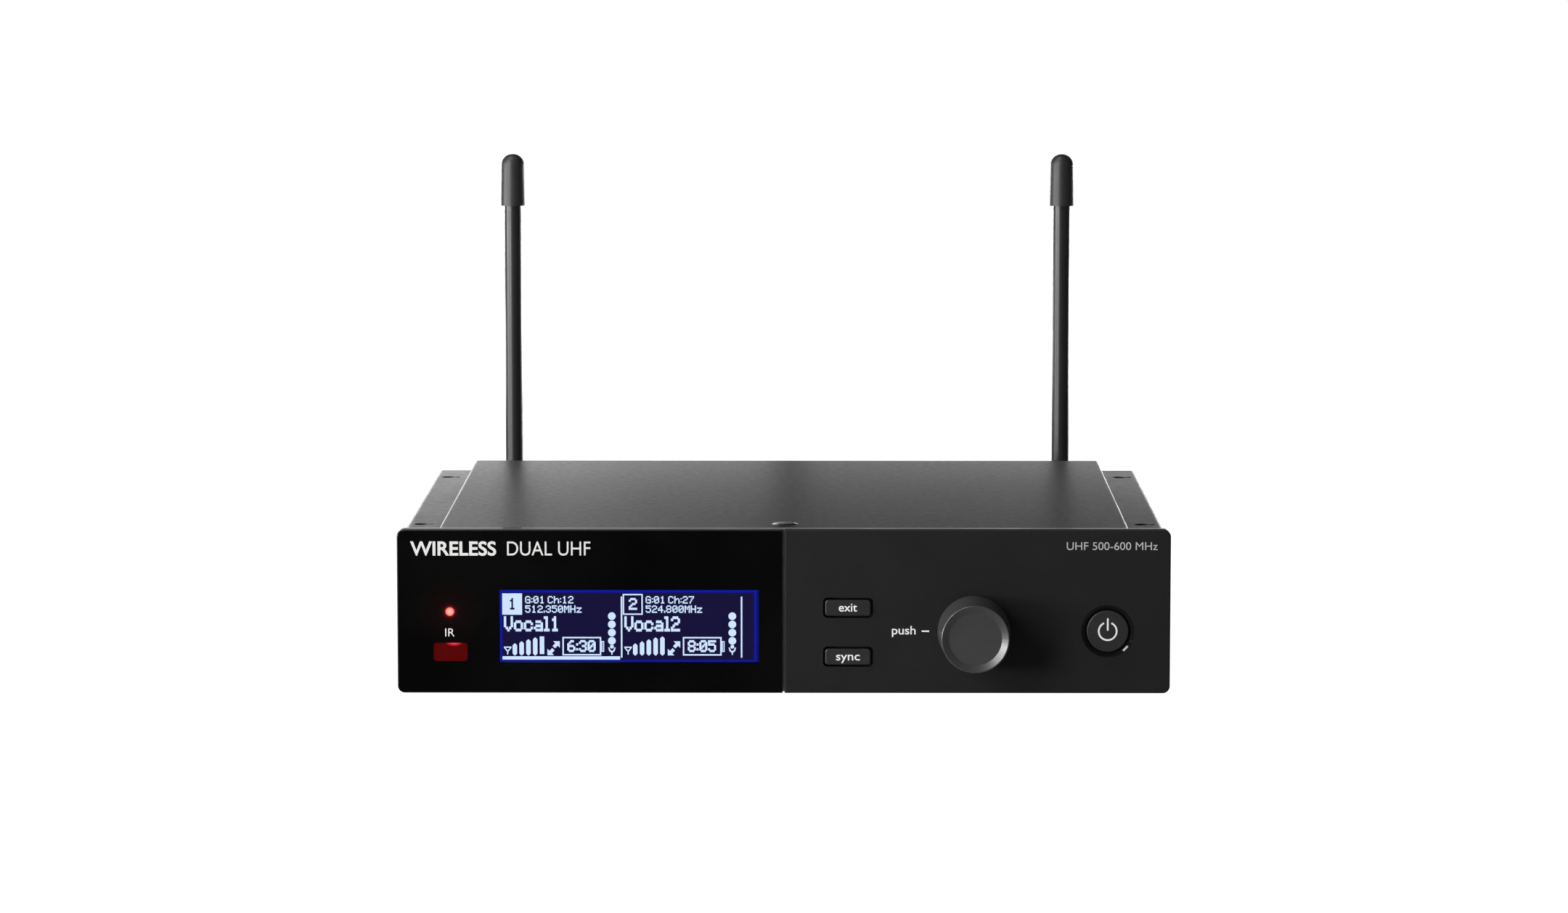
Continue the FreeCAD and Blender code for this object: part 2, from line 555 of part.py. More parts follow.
def encoder():
    """Rotary push encoder: fixed housing and nut, sliding plunger, turning shaft and knob."""
    half = D.encoder_side / 2
    across, up = D.knob_across, D.axis_up
    case = box((across - half, D.rim_deep, up - half), (across + half, D.board_front, up + half))
    bush = rod(D.bush_round, (across, -D.bush_reach, up), D.bush_reach + D.encoder_tail, "back")
    bore = rod(D.shaft_round + D.fit, (across, -D.bush_reach - D.past, up),
               D.bush_reach + D.board_front - D.past, "back")
    node(cut(fuse(case, bush), bore), "encoder_housing")
    nut = hexagon(D.nut_flats, (across, -D.nut_thick, up), D.nut_thick, "back")
    hole = rod(D.bush_round, (across, -D.nut_thick - D.past, up), D.nut_thick + 2 * D.past, "back")
    node(cut(nut, hole), "encoder_nut")

    plunger_points = [(0, 0), (D.pilot_round, 0), (D.pilot_round, D.pilot_long),
                      (D.plunger_round, D.pilot_long), (D.plunger_round, D.plunger_long),
                      (0, D.plunger_long)]
    node(turned("plunger", plunger_points,
                (across, D.encoder_tail - D.pilot_long + D.pilot_gap, up), "back"), "encoder_plunger")
    shaft_tip = D.knob_reach - D.knob_dish - D.shaft_short
    shaft = rod(D.shaft_round, (across, -shaft_tip, up), shaft_tip + D.encoder_tail, "back")
    pilot_start = D.encoder_tail - D.pilot_long - D.pilot_gap / 2
    pilot = rod(D.pilot_round + D.fit, (across, pilot_start, up), D.pilot_long + D.past, "back")
    node(cut(shaft, pilot), "encoder_shaft")

    nose = D.knob_reach - D.knob_gap
    disc = nose - D.knob_dish
    hub_start = D.bush_reach + D.hub_gap - D.knob_gap
    seat = shaft_tip - D.knob_gap
    points = [(0, disc), (D.knob_disc, disc), (D.knob_nose, nose), (D.knob_base, 0),
              (D.knob_hollow, 0), (D.knob_hollow, D.knob_roof), (D.hub_round, D.knob_roof),
              (D.hub_round, hub_start), (D.shaft_round, hub_start), (D.shaft_round, seat), (0, seat)]
    knob = turned("knob", points, (across, -D.knob_gap, up), "front")
    dress(knob, "Fillet", D.knob_soft, ring_at(nose, D.knob_nose))
    node(knob, "control_knob")


# ---------------------------------------------------------------- boards
def front_board():
    """Upright board behind the panel, with the infrared transceiver."""
    half = HALF_TRAY - D.upright_side
    back = D.board_front + D.board_thick
    node(box((-half, D.board_front, D.upright_low), (half, back, D.upright_high)), "front_board")
    inset = D.infra_inset
    node(box((D.infra_left + inset, D.rim_deep, D.infra_low + inset),
             (D.infra_right - inset, D.board_front, D.infra_high - inset)), "infrared_transceiver")


def main_board():
    """Main board on posts, with its screws."""
    half = D.board_wide / 2
    slab = box((-half, D.board_near, D.board_up), (half, D.board_far, BOARD_TOP))
    posts, screws, holes = [], [], []
    for across in (-half + D.post_side, half - D.post_side):
        for behind in (D.board_near + D.post_near, D.board_near + D.post_middle,
                       D.board_far - D.post_far):
            posts.append(rod(D.post_round, (across, behind, D.sheet), D.board_up - D.sheet))
            holes.append(rod(D.screw_core, (across, behind, D.board_up - D.past),
                             D.board_thick + 2 * D.past))
            head = rod(D.board_screw, (across, behind, BOARD_TOP), D.board_screw_tall)
            core = rod(D.screw_core, (across, behind, D.board_up), D.board_thick + D.past)
            screws.append(fuse(head, core))
    node(cut(slab, *holes), "main_board")
    node(group(*posts), "board_posts")
    node(group(*screws), "board_screws")


def board_parts():
    """Tuner shields, chips and capacitors that stand on the main board."""
    shields = []
    skin = D.shield_skin
    top = BOARD_TOP + D.shield_tall
    near, far = D.shield_near, D.shield_near + D.shield_deep
    for side in (-1, 1):
        left = side * D.shield_across - D.shield_wide / 2
        right = side * D.shield_across + D.shield_wide / 2
        shields.append(cut(box((left, near, BOARD_TOP), (right, far, top)),
                           box((left + skin, near + skin, BOARD_TOP - D.past),
                               (right - skin, far - skin, top - skin))))
    node(group(*shields), "tuner_shields")
    chips = []
    for across, behind, side, tall in CHIPS:
        chips.append(box((across - side / 2, behind - side / 2, BOARD_TOP),
                         (across + side / 2, behind + side / 2, BOARD_TOP + tall)))
    node(group(*chips), "board_chips")
    cans = [rod(radius, (across, behind, BOARD_TOP), tall)
            for across, behind, radius, tall in CAPACITORS]
    node(group(*cans), "filter_capacitors")


def ribbon():
    """Flat cable that joins the two boards: back from the upright board, down, and back again."""
    start = D.board_front + D.board_thick
    first, second = start + D.ribbon_first, start + D.ribbon_second
    low, high, thick = BOARD_TOP + D.ribbon_low, D.ribbon_top, D.ribbon_thick
    points = [(start, high), (first, high), (first, low + thick), (second, low + thick),
              (second, low), (first - thick, low), (first - thick, high - thick),
              (start, high - thick)]
    body = new_body("flat_cable")
    sketch = outline(body, "YZ_Plane", points)
    pad = body.newObject("PartDesign::Pad", "flat_cable_pad")
    pad.Profile = sketch
    pad.setExpression("Length", D.ribbon_wide.formula)
    half = D.ribbon_wide / 2
    place(body, (-half, 0, 0))
    edge = D.ribbon_socket
    socket = box((-half - edge, second - 2 * edge, BOARD_TOP), (half + edge, second + edge, low))
    node(group(body, socket), "board_ribbon")


def bent_lead(side):
    """The path solid of one antenna lead: back end of the jack, a quarter bend, down to a shield."""
    across = (side * D.antenna_across).number
    behind = SIZES["body_deep"] - SIZES["lead_start"]
    up = SIZES["antenna_up"]
    floor = BOARD_TOP.number + SIZES["shield_tall"]
    bend = up - floor - SIZES["lead_end"]
    drop = SIZES["shield_near"] + SIZES["shield_deep"] - SIZES["lead_drop"]
    shift = FreeCAD.Vector(*[size.number for size in SHIFT])
    start = FreeCAD.Vector(across, behind, up) + shift
    turn = FreeCAD.Vector(across, drop + bend, up) + shift
    elbow = FreeCAD.Vector(across, drop + bend * (1 - math.sin(math.pi / 4)),
                           up - bend * (1 - math.cos(math.pi / 4))) + shift
    down = FreeCAD.Vector(across, drop, up - bend) + shift
    end = FreeCAD.Vector(across, drop, floor) + shift
    path = Part.Wire([Part.LineSegment(start, turn).toShape(), Part.Arc(turn, elbow, down).toShape(),
                      Part.LineSegment(down, end).toShape()])
    profile = Part.Wire(Part.Circle(start, FreeCAD.Vector(0, 1, 0), SIZES["lead_round"]).toShape())
    return path.makePipeShell([profile], True, True)


def antenna_leads():
    """Two short coaxial leads from the antenna jacks to the tuner shields."""
    leads = doc.addObject("Part::Feature", "leads")
    leads.Shape = Part.makeCompound([bent_lead(-1), bent_lead(1)])
    node(leads, "antenna_leads")


# ---------------------------------------------------------------- rear sockets
def balanced_outputs():
    """Two three-pin output sockets: a zinc shell with a flange, and its pins."""
    shells, pins = [], []
    outer = D.body_deep + D.xlr_plate
    floor = outer - D.xlr_depth
    for name, across in (("xlr_one", D.xlr_left), ("xlr_two", D.xlr_right)):
        flange = rounded_box(name, across - D.xlr_flange / 2, across + D.xlr_flange / 2,
                             D.xlr_up - D.xlr_tall / 2, D.xlr_up + D.xlr_tall / 2,
                             D.body_deep, outer, D.xlr_corner)
        barrel = rod(D.xlr_barrel, (across, floor - D.xlr_floor, D.xlr_up),
                     D.xlr_depth + D.xlr_floor - D.xlr_recess, "back")
        bore = rod(D.xlr_bore, (across, floor, D.xlr_up), D.xlr_depth + D.past, "back")
        holes = [rod(D.screw_core, (across + turn * D.fix_across, D.body_deep - D.past,
                                    D.xlr_up + turn * D.fix_up), D.xlr_plate + 2 * D.past, "back")
                 for turn in (-1, 1)]
        shells.append(cut(fuse(flange, barrel), bore, *holes))
        for sideways, upwards in ((1, 0), (-1, 0), (0, -1)):
            pins.append(rod(D.pin_round, (across + sideways * D.pin_circle, floor,
                                          D.xlr_up + upwards * D.pin_circle),
                            D.xlr_depth - D.pin_recess, "back"))
    node(group(*shells), "balanced_shells")
    node(group(*pins), "balanced_pins")


def line_outputs():
    """Two 6.35 mm jack sockets with their hexagon nuts."""
    bodies, nuts = [], []
    inside = D.body_deep + D.line_reach - D.line_depth
    half = D.line_half
    for across in (D.line_left, D.line_right):
        case = box((across - half, inside - D.line_back, BOARD_TOP),
                   (across + half, D.body_deep - D.sheet, D.line_top))
        start = D.body_deep - D.sheet - D.past
        sleeve = rod(D.line_sleeve, (across, start, D.line_up),
                     D.line_reach + D.sheet + D.past, "back")
        bore = rod(D.line_bore, (across, inside, D.line_up), D.line_depth + D.past, "back")
        bodies.append(cut(fuse(case, sleeve), bore))
        nut = hexagon(D.line_flats, (across, D.body_deep, D.line_up), D.line_nut, "back")
        hole = rod(D.line_sleeve, (across, D.body_deep - D.past, D.line_up),
                   D.line_nut + 2 * D.past, "back")
        nuts.append(cut(nut, hole))
    node(group(*bodies), "line_jacks")
    node(group(*nuts), "line_jack_nuts")


def power_inlet():
    """Barrel inlet for the external supply."""
    back = D.body_deep + D.socket_proud
    floor = back - D.dc_depth
    case = box((D.dc_across - D.dc_wide / 2, back - D.dc_long, BOARD_TOP),
               (D.dc_across + D.dc_wide / 2, back, BOARD_TOP + D.dc_tall))
    bore = rod(D.dc_bore, (D.dc_across, floor, D.dc_up), D.dc_depth + D.past, "back")
    node(cut(case, bore), "dc_inlet_shell")
    node(rod(D.dc_pin, (D.dc_across, floor, D.dc_up), D.dc_depth - D.dc_recess, "back"),
         "dc_inlet_pin")


def network_port():
    """Eight-contact network socket."""
    back = D.body_deep + D.socket_proud
    left, right = D.net_across - D.net_wide / 2, D.net_across + D.net_wide / 2
    case = box((left, back - D.net_deep, BOARD_TOP), (right, back, BOARD_TOP + D.net_tall))
    floor = back - D.net_depth
    low, high = BOARD_TOP + D.net_sill, BOARD_TOP + D.net_sill + D.net_opening
    mouth = box((D.net_across - D.net_mouth / 2, floor, low),
                (D.net_across + D.net_mouth / 2, back + D.past, high))
    latch = box((D.net_across - D.latch_half, floor, low - D.latch_deep),
                (D.net_across + D.latch_half, back + D.past, low + D.past))
    node(cut(case, fuse(mouth, latch)), "network_jack")
    contacts = []
    count = 8
    for number in range(count):
        across = D.net_across + (number - (count - 1) / 2) * D.contact_pitch
        contacts.append(box((across - D.contact_half, back - D.contact_far, high - D.contact_tall),
                            (across + D.contact_half, back - D.contact_near, high)))
    node(group(*contacts), "network_contacts")


def rear_screws():
    """Eight alike screws: four that hold the rear panel and four in the output sockets."""
    places = [(side * D.rear_screw_side, D.body_deep, up)
              for side in (-1, 1) for up in (D.rear_screw_low, D.rear_screw_high)]
    places += [(across + turn * D.fix_across, D.body_deep + D.xlr_plate, D.xlr_up + turn * D.fix_up)
               for across in (D.xlr_left, D.xlr_right) for turn in (-1, 1)]
    long, half = D.rear_cross, D.rear_cross_half
    heads = []
    for across, face, up in places:
        head = rod(D.rear_screw, (across, face, up), D.rear_screw_tall, "back")
        floor, top = face + D.rear_cross_floor, face + D.rear_screw_tall + D.past
        cross = fuse(box((across - long, floor, up - half), (across + long, top, up + half)),
                     box((across - half, floor, up - long), (across + half, top, up + long)))
        heads.append(cut(head, cross))
    node(group(*heads), "rear_screws")


def cover_screw():
    """Bright cross-head screw at the front of the cover, its head a little crowned."""
    across, behind, low = D.screw_across, D.screw_behind, D.panel_tall - D.sheet
    head = cone(D.screw_head - D.sheet, D.screw_head, (across, behind, low), D.sheet)
    crown = cone(D.screw_head, D.crown_round, (across, behind, D.panel_tall), D.screw_crown)
    core = rod(D.screw_core, (across, behind, low - D.screw_long), D.screw_long + D.sheet / 2)
    long, half = D.cross_reach, D.cross_half
    floor, top = D.panel_tall - D.cross_deep, D.panel_tall + D.past
    cross = fuse(box((across - long, behind - half, floor), (across + long, behind + half, top)),
                 box((across - half, behind - long, floor), (across + half, behind + long, top)))
    node(cut(fuse(head, crown, core), cross), "cover_screw")


# ---------------------------------------------------------------- antennas
def antenna_jacks():
    """Two bayonet jacks through the rear panel: shell with lugs, dielectric core, nut."""
    shells, cores, nuts = [], [], []
    wall, up = D.body_deep, D.antenna_up
    for side, name in ((-1, "left"), (1, "right")):
        across = side * D.antenna_across
        spot = (across, wall - D.jack_inside, up)
        end = D.jack_inside + D.jack_reach
        step = D.jack_inside - D.sheet
        points = [(D.jack_bore, 0), (D.jack_body, 0), (D.jack_body, step), (D.lug_reach, step),
                  (D.lug_reach, D.jack_land), (D.jack_round, D.jack_land), (D.jack_round, end),
                  (D.jack_bore, end)]
        shell = turned(name + "_jack", points, spot, "back")
        lugs = rod(D.lug_round, (across - D.lug_reach, wall + D.lug_behind, up),
                   2 * D.lug_reach, "right")
        bore = rod(D.jack_bore, (across, wall, up), D.jack_reach + D.past, "back")
        shells.append(fuse(shell, cut(lugs, bore)))
        tail = D.lead_round + D.core_skirt
        core_points = [(0, -D.core_tail), (tail, -D.core_tail), (tail, 0), (D.jack_bore, 0),
                       (D.jack_bore, D.core_face), (D.core_nose, D.core_face),
                       (D.core_nose, D.core_reach), (0, D.core_reach)]
        cores.append(turned(name + "_core", core_points, spot, "back"))
        nut = hexagon(D.antenna_flats, (across, wall, up), D.antenna_nut, "back")
        hole = rod(D.lug_reach, (across, wall - D.past, up), D.antenna_nut + 2 * D.past, "back")
        nuts.append(cut(nut, hole))
    node(group(*shells), "antenna_jack_shells")
    node(group(*cores), "antenna_jack_cores")
    node(group(*nuts), "antenna_jack_nuts")


def collar(side, name):
    """Knurled bayonet collar that turns on the jack."""
    across = side * D.antenna_across
    long = D.collar_back - D.collar_front
    wall = long - D.collar_wall
    grip = D.neck_round + D.collar_gap
    shoulder = D.collar_round - D.collar_edge
    points = [(D.collar_bore, 0), (shoulder, 0), (D.collar_round, D.collar_edge),
              (D.collar_round, long - D.collar_edge), (shoulder, long), (grip, long), (grip, wall),
              (D.collar_bore, wall)]
    spot = (across, D.body_deep + D.collar_front, D.antenna_up)
    body = turned(name + "_ring", points, spot, "back")
    count = 24
    reach = D.collar_round + D.groove_out
    grooves = []
    for number in range(count):
        angle = 2 * math.pi * number / count
        grooves.append(rod(D.groove_round, (across + reach * math.sin(angle), spot[1] + D.groove_start,
                                            D.antenna_up + reach * math.cos(angle)),
                           D.groove_long, "back"))
    node(cut(body, *grooves), f"{name}_bayonet_collar")


def elbow(side, name):
    """Plug spigot, swivelling hub and fork, with the hinge pin across the fork."""
    across = side * D.antenna_across
    up = D.antenna_up
    hinge = D.body_deep + D.whip_behind
    spigot = D.jack_bore - D.fit
    mouth = D.jack_reach + D.collar_gap
    points = [(D.spigot_bore, D.spigot_front), (spigot, D.spigot_front), (spigot, mouth),
              (D.neck_round, mouth), (D.neck_round, D.elbow_front), (D.elbow_round, D.elbow_front),
              (D.elbow_round, D.elbow_back), (0, D.elbow_back), (0, D.elbow_front),
              (D.spigot_bore, D.elbow_front)]
    hub = turned(name + "_hub", points, (across, D.body_deep, up), "back")
    half, side_half = D.fork_round, D.fork_side
    start = D.body_deep + D.elbow_back - D.past
    block = box((across - side_half, start, up - half), (across + side_half, hinge, up + half))
    eye = rod(half, (across - side_half, hinge, up), 2 * side_half, "right")
    room = half + D.past
    gap = box((across - D.fork_gap, start + D.past + D.fork_floor, up - room),
              (across + D.fork_gap, hinge + room, up + room))
    hole = rod(D.hinge_round, (across - side_half - D.past, hinge, up),
               2 * (side_half + D.past), "right")
    node(cut(fuse(hub, block, eye), gap, hole), f"{name}_antenna_elbow")
    node(rod(D.hinge_round, (across - side_half, hinge, up), 2 * side_half, "right"),
         f"{name}_hinge_pin")


def whip(side, name):
    """Hinged tongue and socket, the whip itself, and its soft tip."""
    across = side * D.antenna_across
    up = D.antenna_up
    hinge = D.body_deep + D.whip_behind
    eye = rod(D.tongue_round, (across - D.tongue_half, hinge, up), 2 * D.tongue_half, "right")
    neck = rod(D.tongue_neck, (across, hinge, up), D.socket_base + D.past)
    socket = rod(D.socket_round, (across, hinge, up + D.socket_base), D.socket_tall - D.socket_base)
    reach = D.tongue_half + D.past
    hole = rod(D.hinge_round + D.fit, (across - reach, hinge, up), 2 * reach, "right")
    seat = rod(D.whip_round, (across, hinge, up + D.whip_base), D.socket_tall)
    node(cut(fuse(eye, neck, socket), hole, seat), f"{name}_whip_socket")
    base = up + D.whip_base
    node(rod(D.whip_round, (across, hinge, base), D.tip_low - base), f"{name}_whip")
    tall = D.tip_high - D.tip_low
    points = [(0, 0), (D.tip_wide, 0), (D.tip_narrow, tall), (0, tall)]
    tip = turned(name + "_cap", points, (across, hinge, D.tip_low))
    dress(tip, "Fillet", D.tip_dome, ring_at(tall, D.tip_narrow))
    node(tip, f"{name}_whip_tip")


# ---------------------------------------------------------------- the whole unit
def build():
    """Every sub-part, in the order in which the unit is put together."""
    chassis_tray()
    rear_panel()
    feet()
    main_board()
    board_parts()
    balanced_outputs()
    line_outputs()
    power_inlet()
    network_port()
    antenna_jacks()
    antenna_leads()
    front_frame()
    display()
    left_fascia()
    right_fascia()
    front_board()
    switches()
    encoder()
    menu_key("exit_button", D.exit_up)
    menu_key("sync_button", D.sync_up)
    power_key()
    ribbon()
    top_cover()
    cover_screw()
    rear_screws()
    for side, name in ((-1, "left"), (1, "right")):
        collar(side, name)
        elbow(side, name)
        whip(side, name)


def write_parts():
    """Check every object and sub-part, then write one file for each sub-part."""
    doc.recompute()
    failed = [item.Label for item in doc.Objects if {"Invalid", "Error"} & set(item.State)]
    if failed:
        raise RuntimeError(f"objects that did not build: {failed}")
    os.makedirs("parts", exist_ok=True)
    for piece in NODES:
        if piece.Shape.isNull() or not piece.Shape.isValid():
            raise RuntimeError(f"bad shape: {piece.Label}")
        piece.Shape.exportStep(f"parts/{piece.Label}.step")
    print(len(NODES), "sub-parts")


build()
write_parts()
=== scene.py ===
"""Looks of a half-rack wireless receiver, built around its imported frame.

Metres, +X to the right seen from the front, +Y from front to back, +Z up. The frame's nodes keep
their shapes and get procedural materials; prints and the display's lit dots are added.
"""
import json
import math
import bpy
import bmesh
from mathutils import Matrix, Vector


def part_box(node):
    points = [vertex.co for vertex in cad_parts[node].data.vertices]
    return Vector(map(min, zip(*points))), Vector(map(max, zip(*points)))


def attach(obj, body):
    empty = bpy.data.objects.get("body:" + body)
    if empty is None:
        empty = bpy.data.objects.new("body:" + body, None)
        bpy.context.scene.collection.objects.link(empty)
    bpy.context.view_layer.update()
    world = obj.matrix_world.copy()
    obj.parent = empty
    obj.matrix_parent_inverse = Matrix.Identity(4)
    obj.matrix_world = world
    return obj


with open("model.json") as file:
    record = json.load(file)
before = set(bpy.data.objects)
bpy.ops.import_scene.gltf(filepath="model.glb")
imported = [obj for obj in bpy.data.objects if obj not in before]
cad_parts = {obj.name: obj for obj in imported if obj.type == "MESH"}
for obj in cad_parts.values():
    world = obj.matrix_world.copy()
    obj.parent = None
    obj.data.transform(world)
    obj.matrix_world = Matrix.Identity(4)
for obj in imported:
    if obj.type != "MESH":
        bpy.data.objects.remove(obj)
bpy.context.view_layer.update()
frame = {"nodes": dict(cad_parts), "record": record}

MM = 0.001
ROOT = "receiver"
PANEL_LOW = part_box("left_fascia")[0]
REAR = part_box("rear_panel")[1].y
INK_DEPTH = 0.02 * MM
CAP_HEIGHT = 0.72  # of the built-in font, as a share of its size

# how far the lit ground and its dots stop short of the display window's edges
GROUND_INSET_LOW = Vector((0.70, 0, 0.62)) * MM
GROUND_INSET_HIGH = Vector((1.39, 0, 1.10)) * MM
DOTS_LEFT, DOTS_RIGHT, DOTS_TOP = 0.62 * MM, 1.54 * MM, 1.22 * MM
DOTS_ACROSS = 240
DOT_DEPTH = 0.03 * MM

CAMERA_SPOT = (7.59, 215.83, 1331.2)  # as on_panel counts it
CAMERA_LENS = 121.2
CAMERA_TILT, CAMERA_PAN = -6.643, 0.323  # degrees

# name, place, what it faces, size (metres) and power (watts) of each light
LIGHTS = [
    ("left_low", (-1.1, -0.18, 0.12), (0, 0, 0.03), (0.6, 0.22), 8.0),
    ("front_left_low", (-0.86, -0.86, 0.09), (0, -0.08, 0.03), (0.4, 0.16), 5.6),
    ("front_left", (-0.85, -0.95, 0.38), (0, -0.08, 0.03), (0.35, 0.3), 3.9),
    ("key", (-0.70, -0.95, 0.62), (0, -0.08, 0.03), (0.35, 0.35), 3.2),
    ("glint", (-0.75, -0.35, 0.70), (0.066, -0.08, 0.02), (0.34, 0.30), 4.0),
    ("horizon_left", (-0.45, 1.5, 0.05), (-0.1, 0, 0.05), (0.7, 0.09), 3.4),
    ("horizon_right", (0.45, 1.5, 0.05), (0.1, 0, 0.05), (0.7, 0.09), 0.2),
    ("back_left", (-0.265, 1.5, 0.5), (-0.265, 0, 0.3), (0.17, 0.9), 0.25),
    ("back_right", (0.60, 1.5, 0.5), (0.60, 0, 0.3), (0.5, 0.9), 0.7),
    ("overhead", (-0.35, -0.05, 1.15), (-0.02, -0.08, 0.04), (0.5, 0.2), 3.6),
    ("behind", (0.3, 0.9, 0.022), (0, 0.07, 0.022), (0.8, 0.03), 2.5),
    ("near_left", (-0.11, 0.21, 0.060), (-0.08, 0.1, 0.04), (0.22, 0.03), 0.07),
    ("near_right", (0.11, 0.21, 0.060), (0.08, 0.1, 0.04), (0.22, 0.03), 0.055),
]
FLOOR_BOUNCE = 0.5
FLOOR_SEEN = 0.94  # share of plain white in the floor that the camera sees
FLOOR_WHITE = 1.06


def middle(node):
    """The centre of a node's box."""
    low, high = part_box(node)
    return (low + high) / 2


def on_panel(across, up, proud=0.0):
    """A spot on the front panel, in millimetres from its middle and lower edge, out from its face."""
    return Vector((across * MM, PANEL_LOW.y - proud * MM, PANEL_LOW.z + up * MM))


# ---------------------------------------------------------------- camera, floor and light
def make_camera():
    """Long lens, a little above the unit and almost square to its front."""
    data = bpy.data.cameras.new("camera")
    data.sensor_width = 36.0
    data.lens = CAMERA_LENS
    data.clip_start = 0.05
    camera = bpy.data.objects.new("camera", data)
    bpy.context.scene.collection.objects.link(camera)
    camera.location = on_panel(*CAMERA_SPOT)
    camera.rotation_euler = (math.radians(90 + CAMERA_TILT), 0.0, math.radians(CAMERA_PAN))
    bpy.context.scene.camera = camera


def area_light(name, spot, aim, size, power):
    """A soft white rectangular light that the camera doesn't see."""
    data = bpy.data.lights.new(name, "AREA")
    data.shape = "RECTANGLE"
    data.size, data.size_y = size
    data.energy = power
    light = bpy.data.objects.new(name, data)
    bpy.context.scene.collection.objects.link(light)
    light.location = spot
    light.rotation_euler = (Vector(aim) - Vector(spot)).to_track_quat("-Z", "Y").to_euler()
    light.visible_camera = False


def mixed(tree, factor, first, second):
    """A blend of two shader outputs in a node tree."""
    mix = tree.nodes.new("ShaderNodeMixShader")
    tree.links.new(factor, mix.inputs[0])
    tree.links.new(first, mix.inputs[1])
    tree.links.new(second, mix.inputs[2])
    return mix.outputs[0]


def make_floor():
    """Pale matte floor that looks evenly white, as a lit studio sweep does, and lights the unit."""
    bpy.ops.mesh.primitive_plane_add(size=60.0, location=(0, 0, 0))
    floor = bpy.context.object
    floor.name = "floor"
    floor.visible_glossy = False
    floor.visible_transmission = False
    material = bpy.data.materials.new("floor_pale")
    material.use_nodes = True
    tree = material.node_tree
    shader = tree.nodes["Principled BSDF"]
    shader.inputs["Base Color"].default_value = (0.86, 0.86, 0.86, 1)
    shader.inputs["Roughness"].default_value = 0.9
    shader.inputs["Emission Color"].default_value = (1, 1, 1, 1)
    shader.inputs["Emission Strength"].default_value = FLOOR_BOUNCE
    glow = tree.nodes.new("ShaderNodeEmission")
    glow.inputs["Strength"].default_value = FLOOR_WHITE
    seen = tree.nodes.new("ShaderNodeMath")
    seen.operation = "MULTIPLY"
    seen.inputs[1].default_value = FLOOR_SEEN
    path = tree.nodes.new("ShaderNodeLightPath")
    tree.links.new(path.outputs["Is Camera Ray"], seen.inputs[0])
    blend = mixed(tree, seen.outputs[0], shader.outputs[0], glow.outputs[0])
    tree.links.new(blend, tree.nodes["Material Output"].inputs["Surface"])
    floor.data.materials.append(material)


def make_surroundings():
    """White where the camera looks past the unit, and almost dark for everything else."""
    world = bpy.data.worlds.new("studio")
    bpy.context.scene.world = world
    world.use_nodes = True
    tree = world.node_tree
    tree.nodes.clear()
    seen = tree.nodes.new("ShaderNodeBackground")
    seen.inputs["Color"].default_value = (1, 1, 1, 1)
    lit = tree.nodes.new("ShaderNodeBackground")
    lit.inputs["Color"].default_value = (1, 1, 1, 1)
    lit.inputs["Strength"].default_value = 0.01
    path = tree.nodes.new("ShaderNodeLightPath")
    blend = mixed(tree, path.outputs["Is Camera Ray"], lit.outputs[0], seen.outputs[0])
    out = tree.nodes.new("ShaderNodeOutputWorld")
    tree.links.new(blend, out.inputs["Surface"])


def make_lights():
    """Soft lights low on the left and in front, one overhead, and strips behind that the top mirrors."""
    for name, spot, aim, size, power in LIGHTS:
        area_light(name, spot, aim, size, power)
    bpy.context.scene.view_settings.view_transform = "Standard"


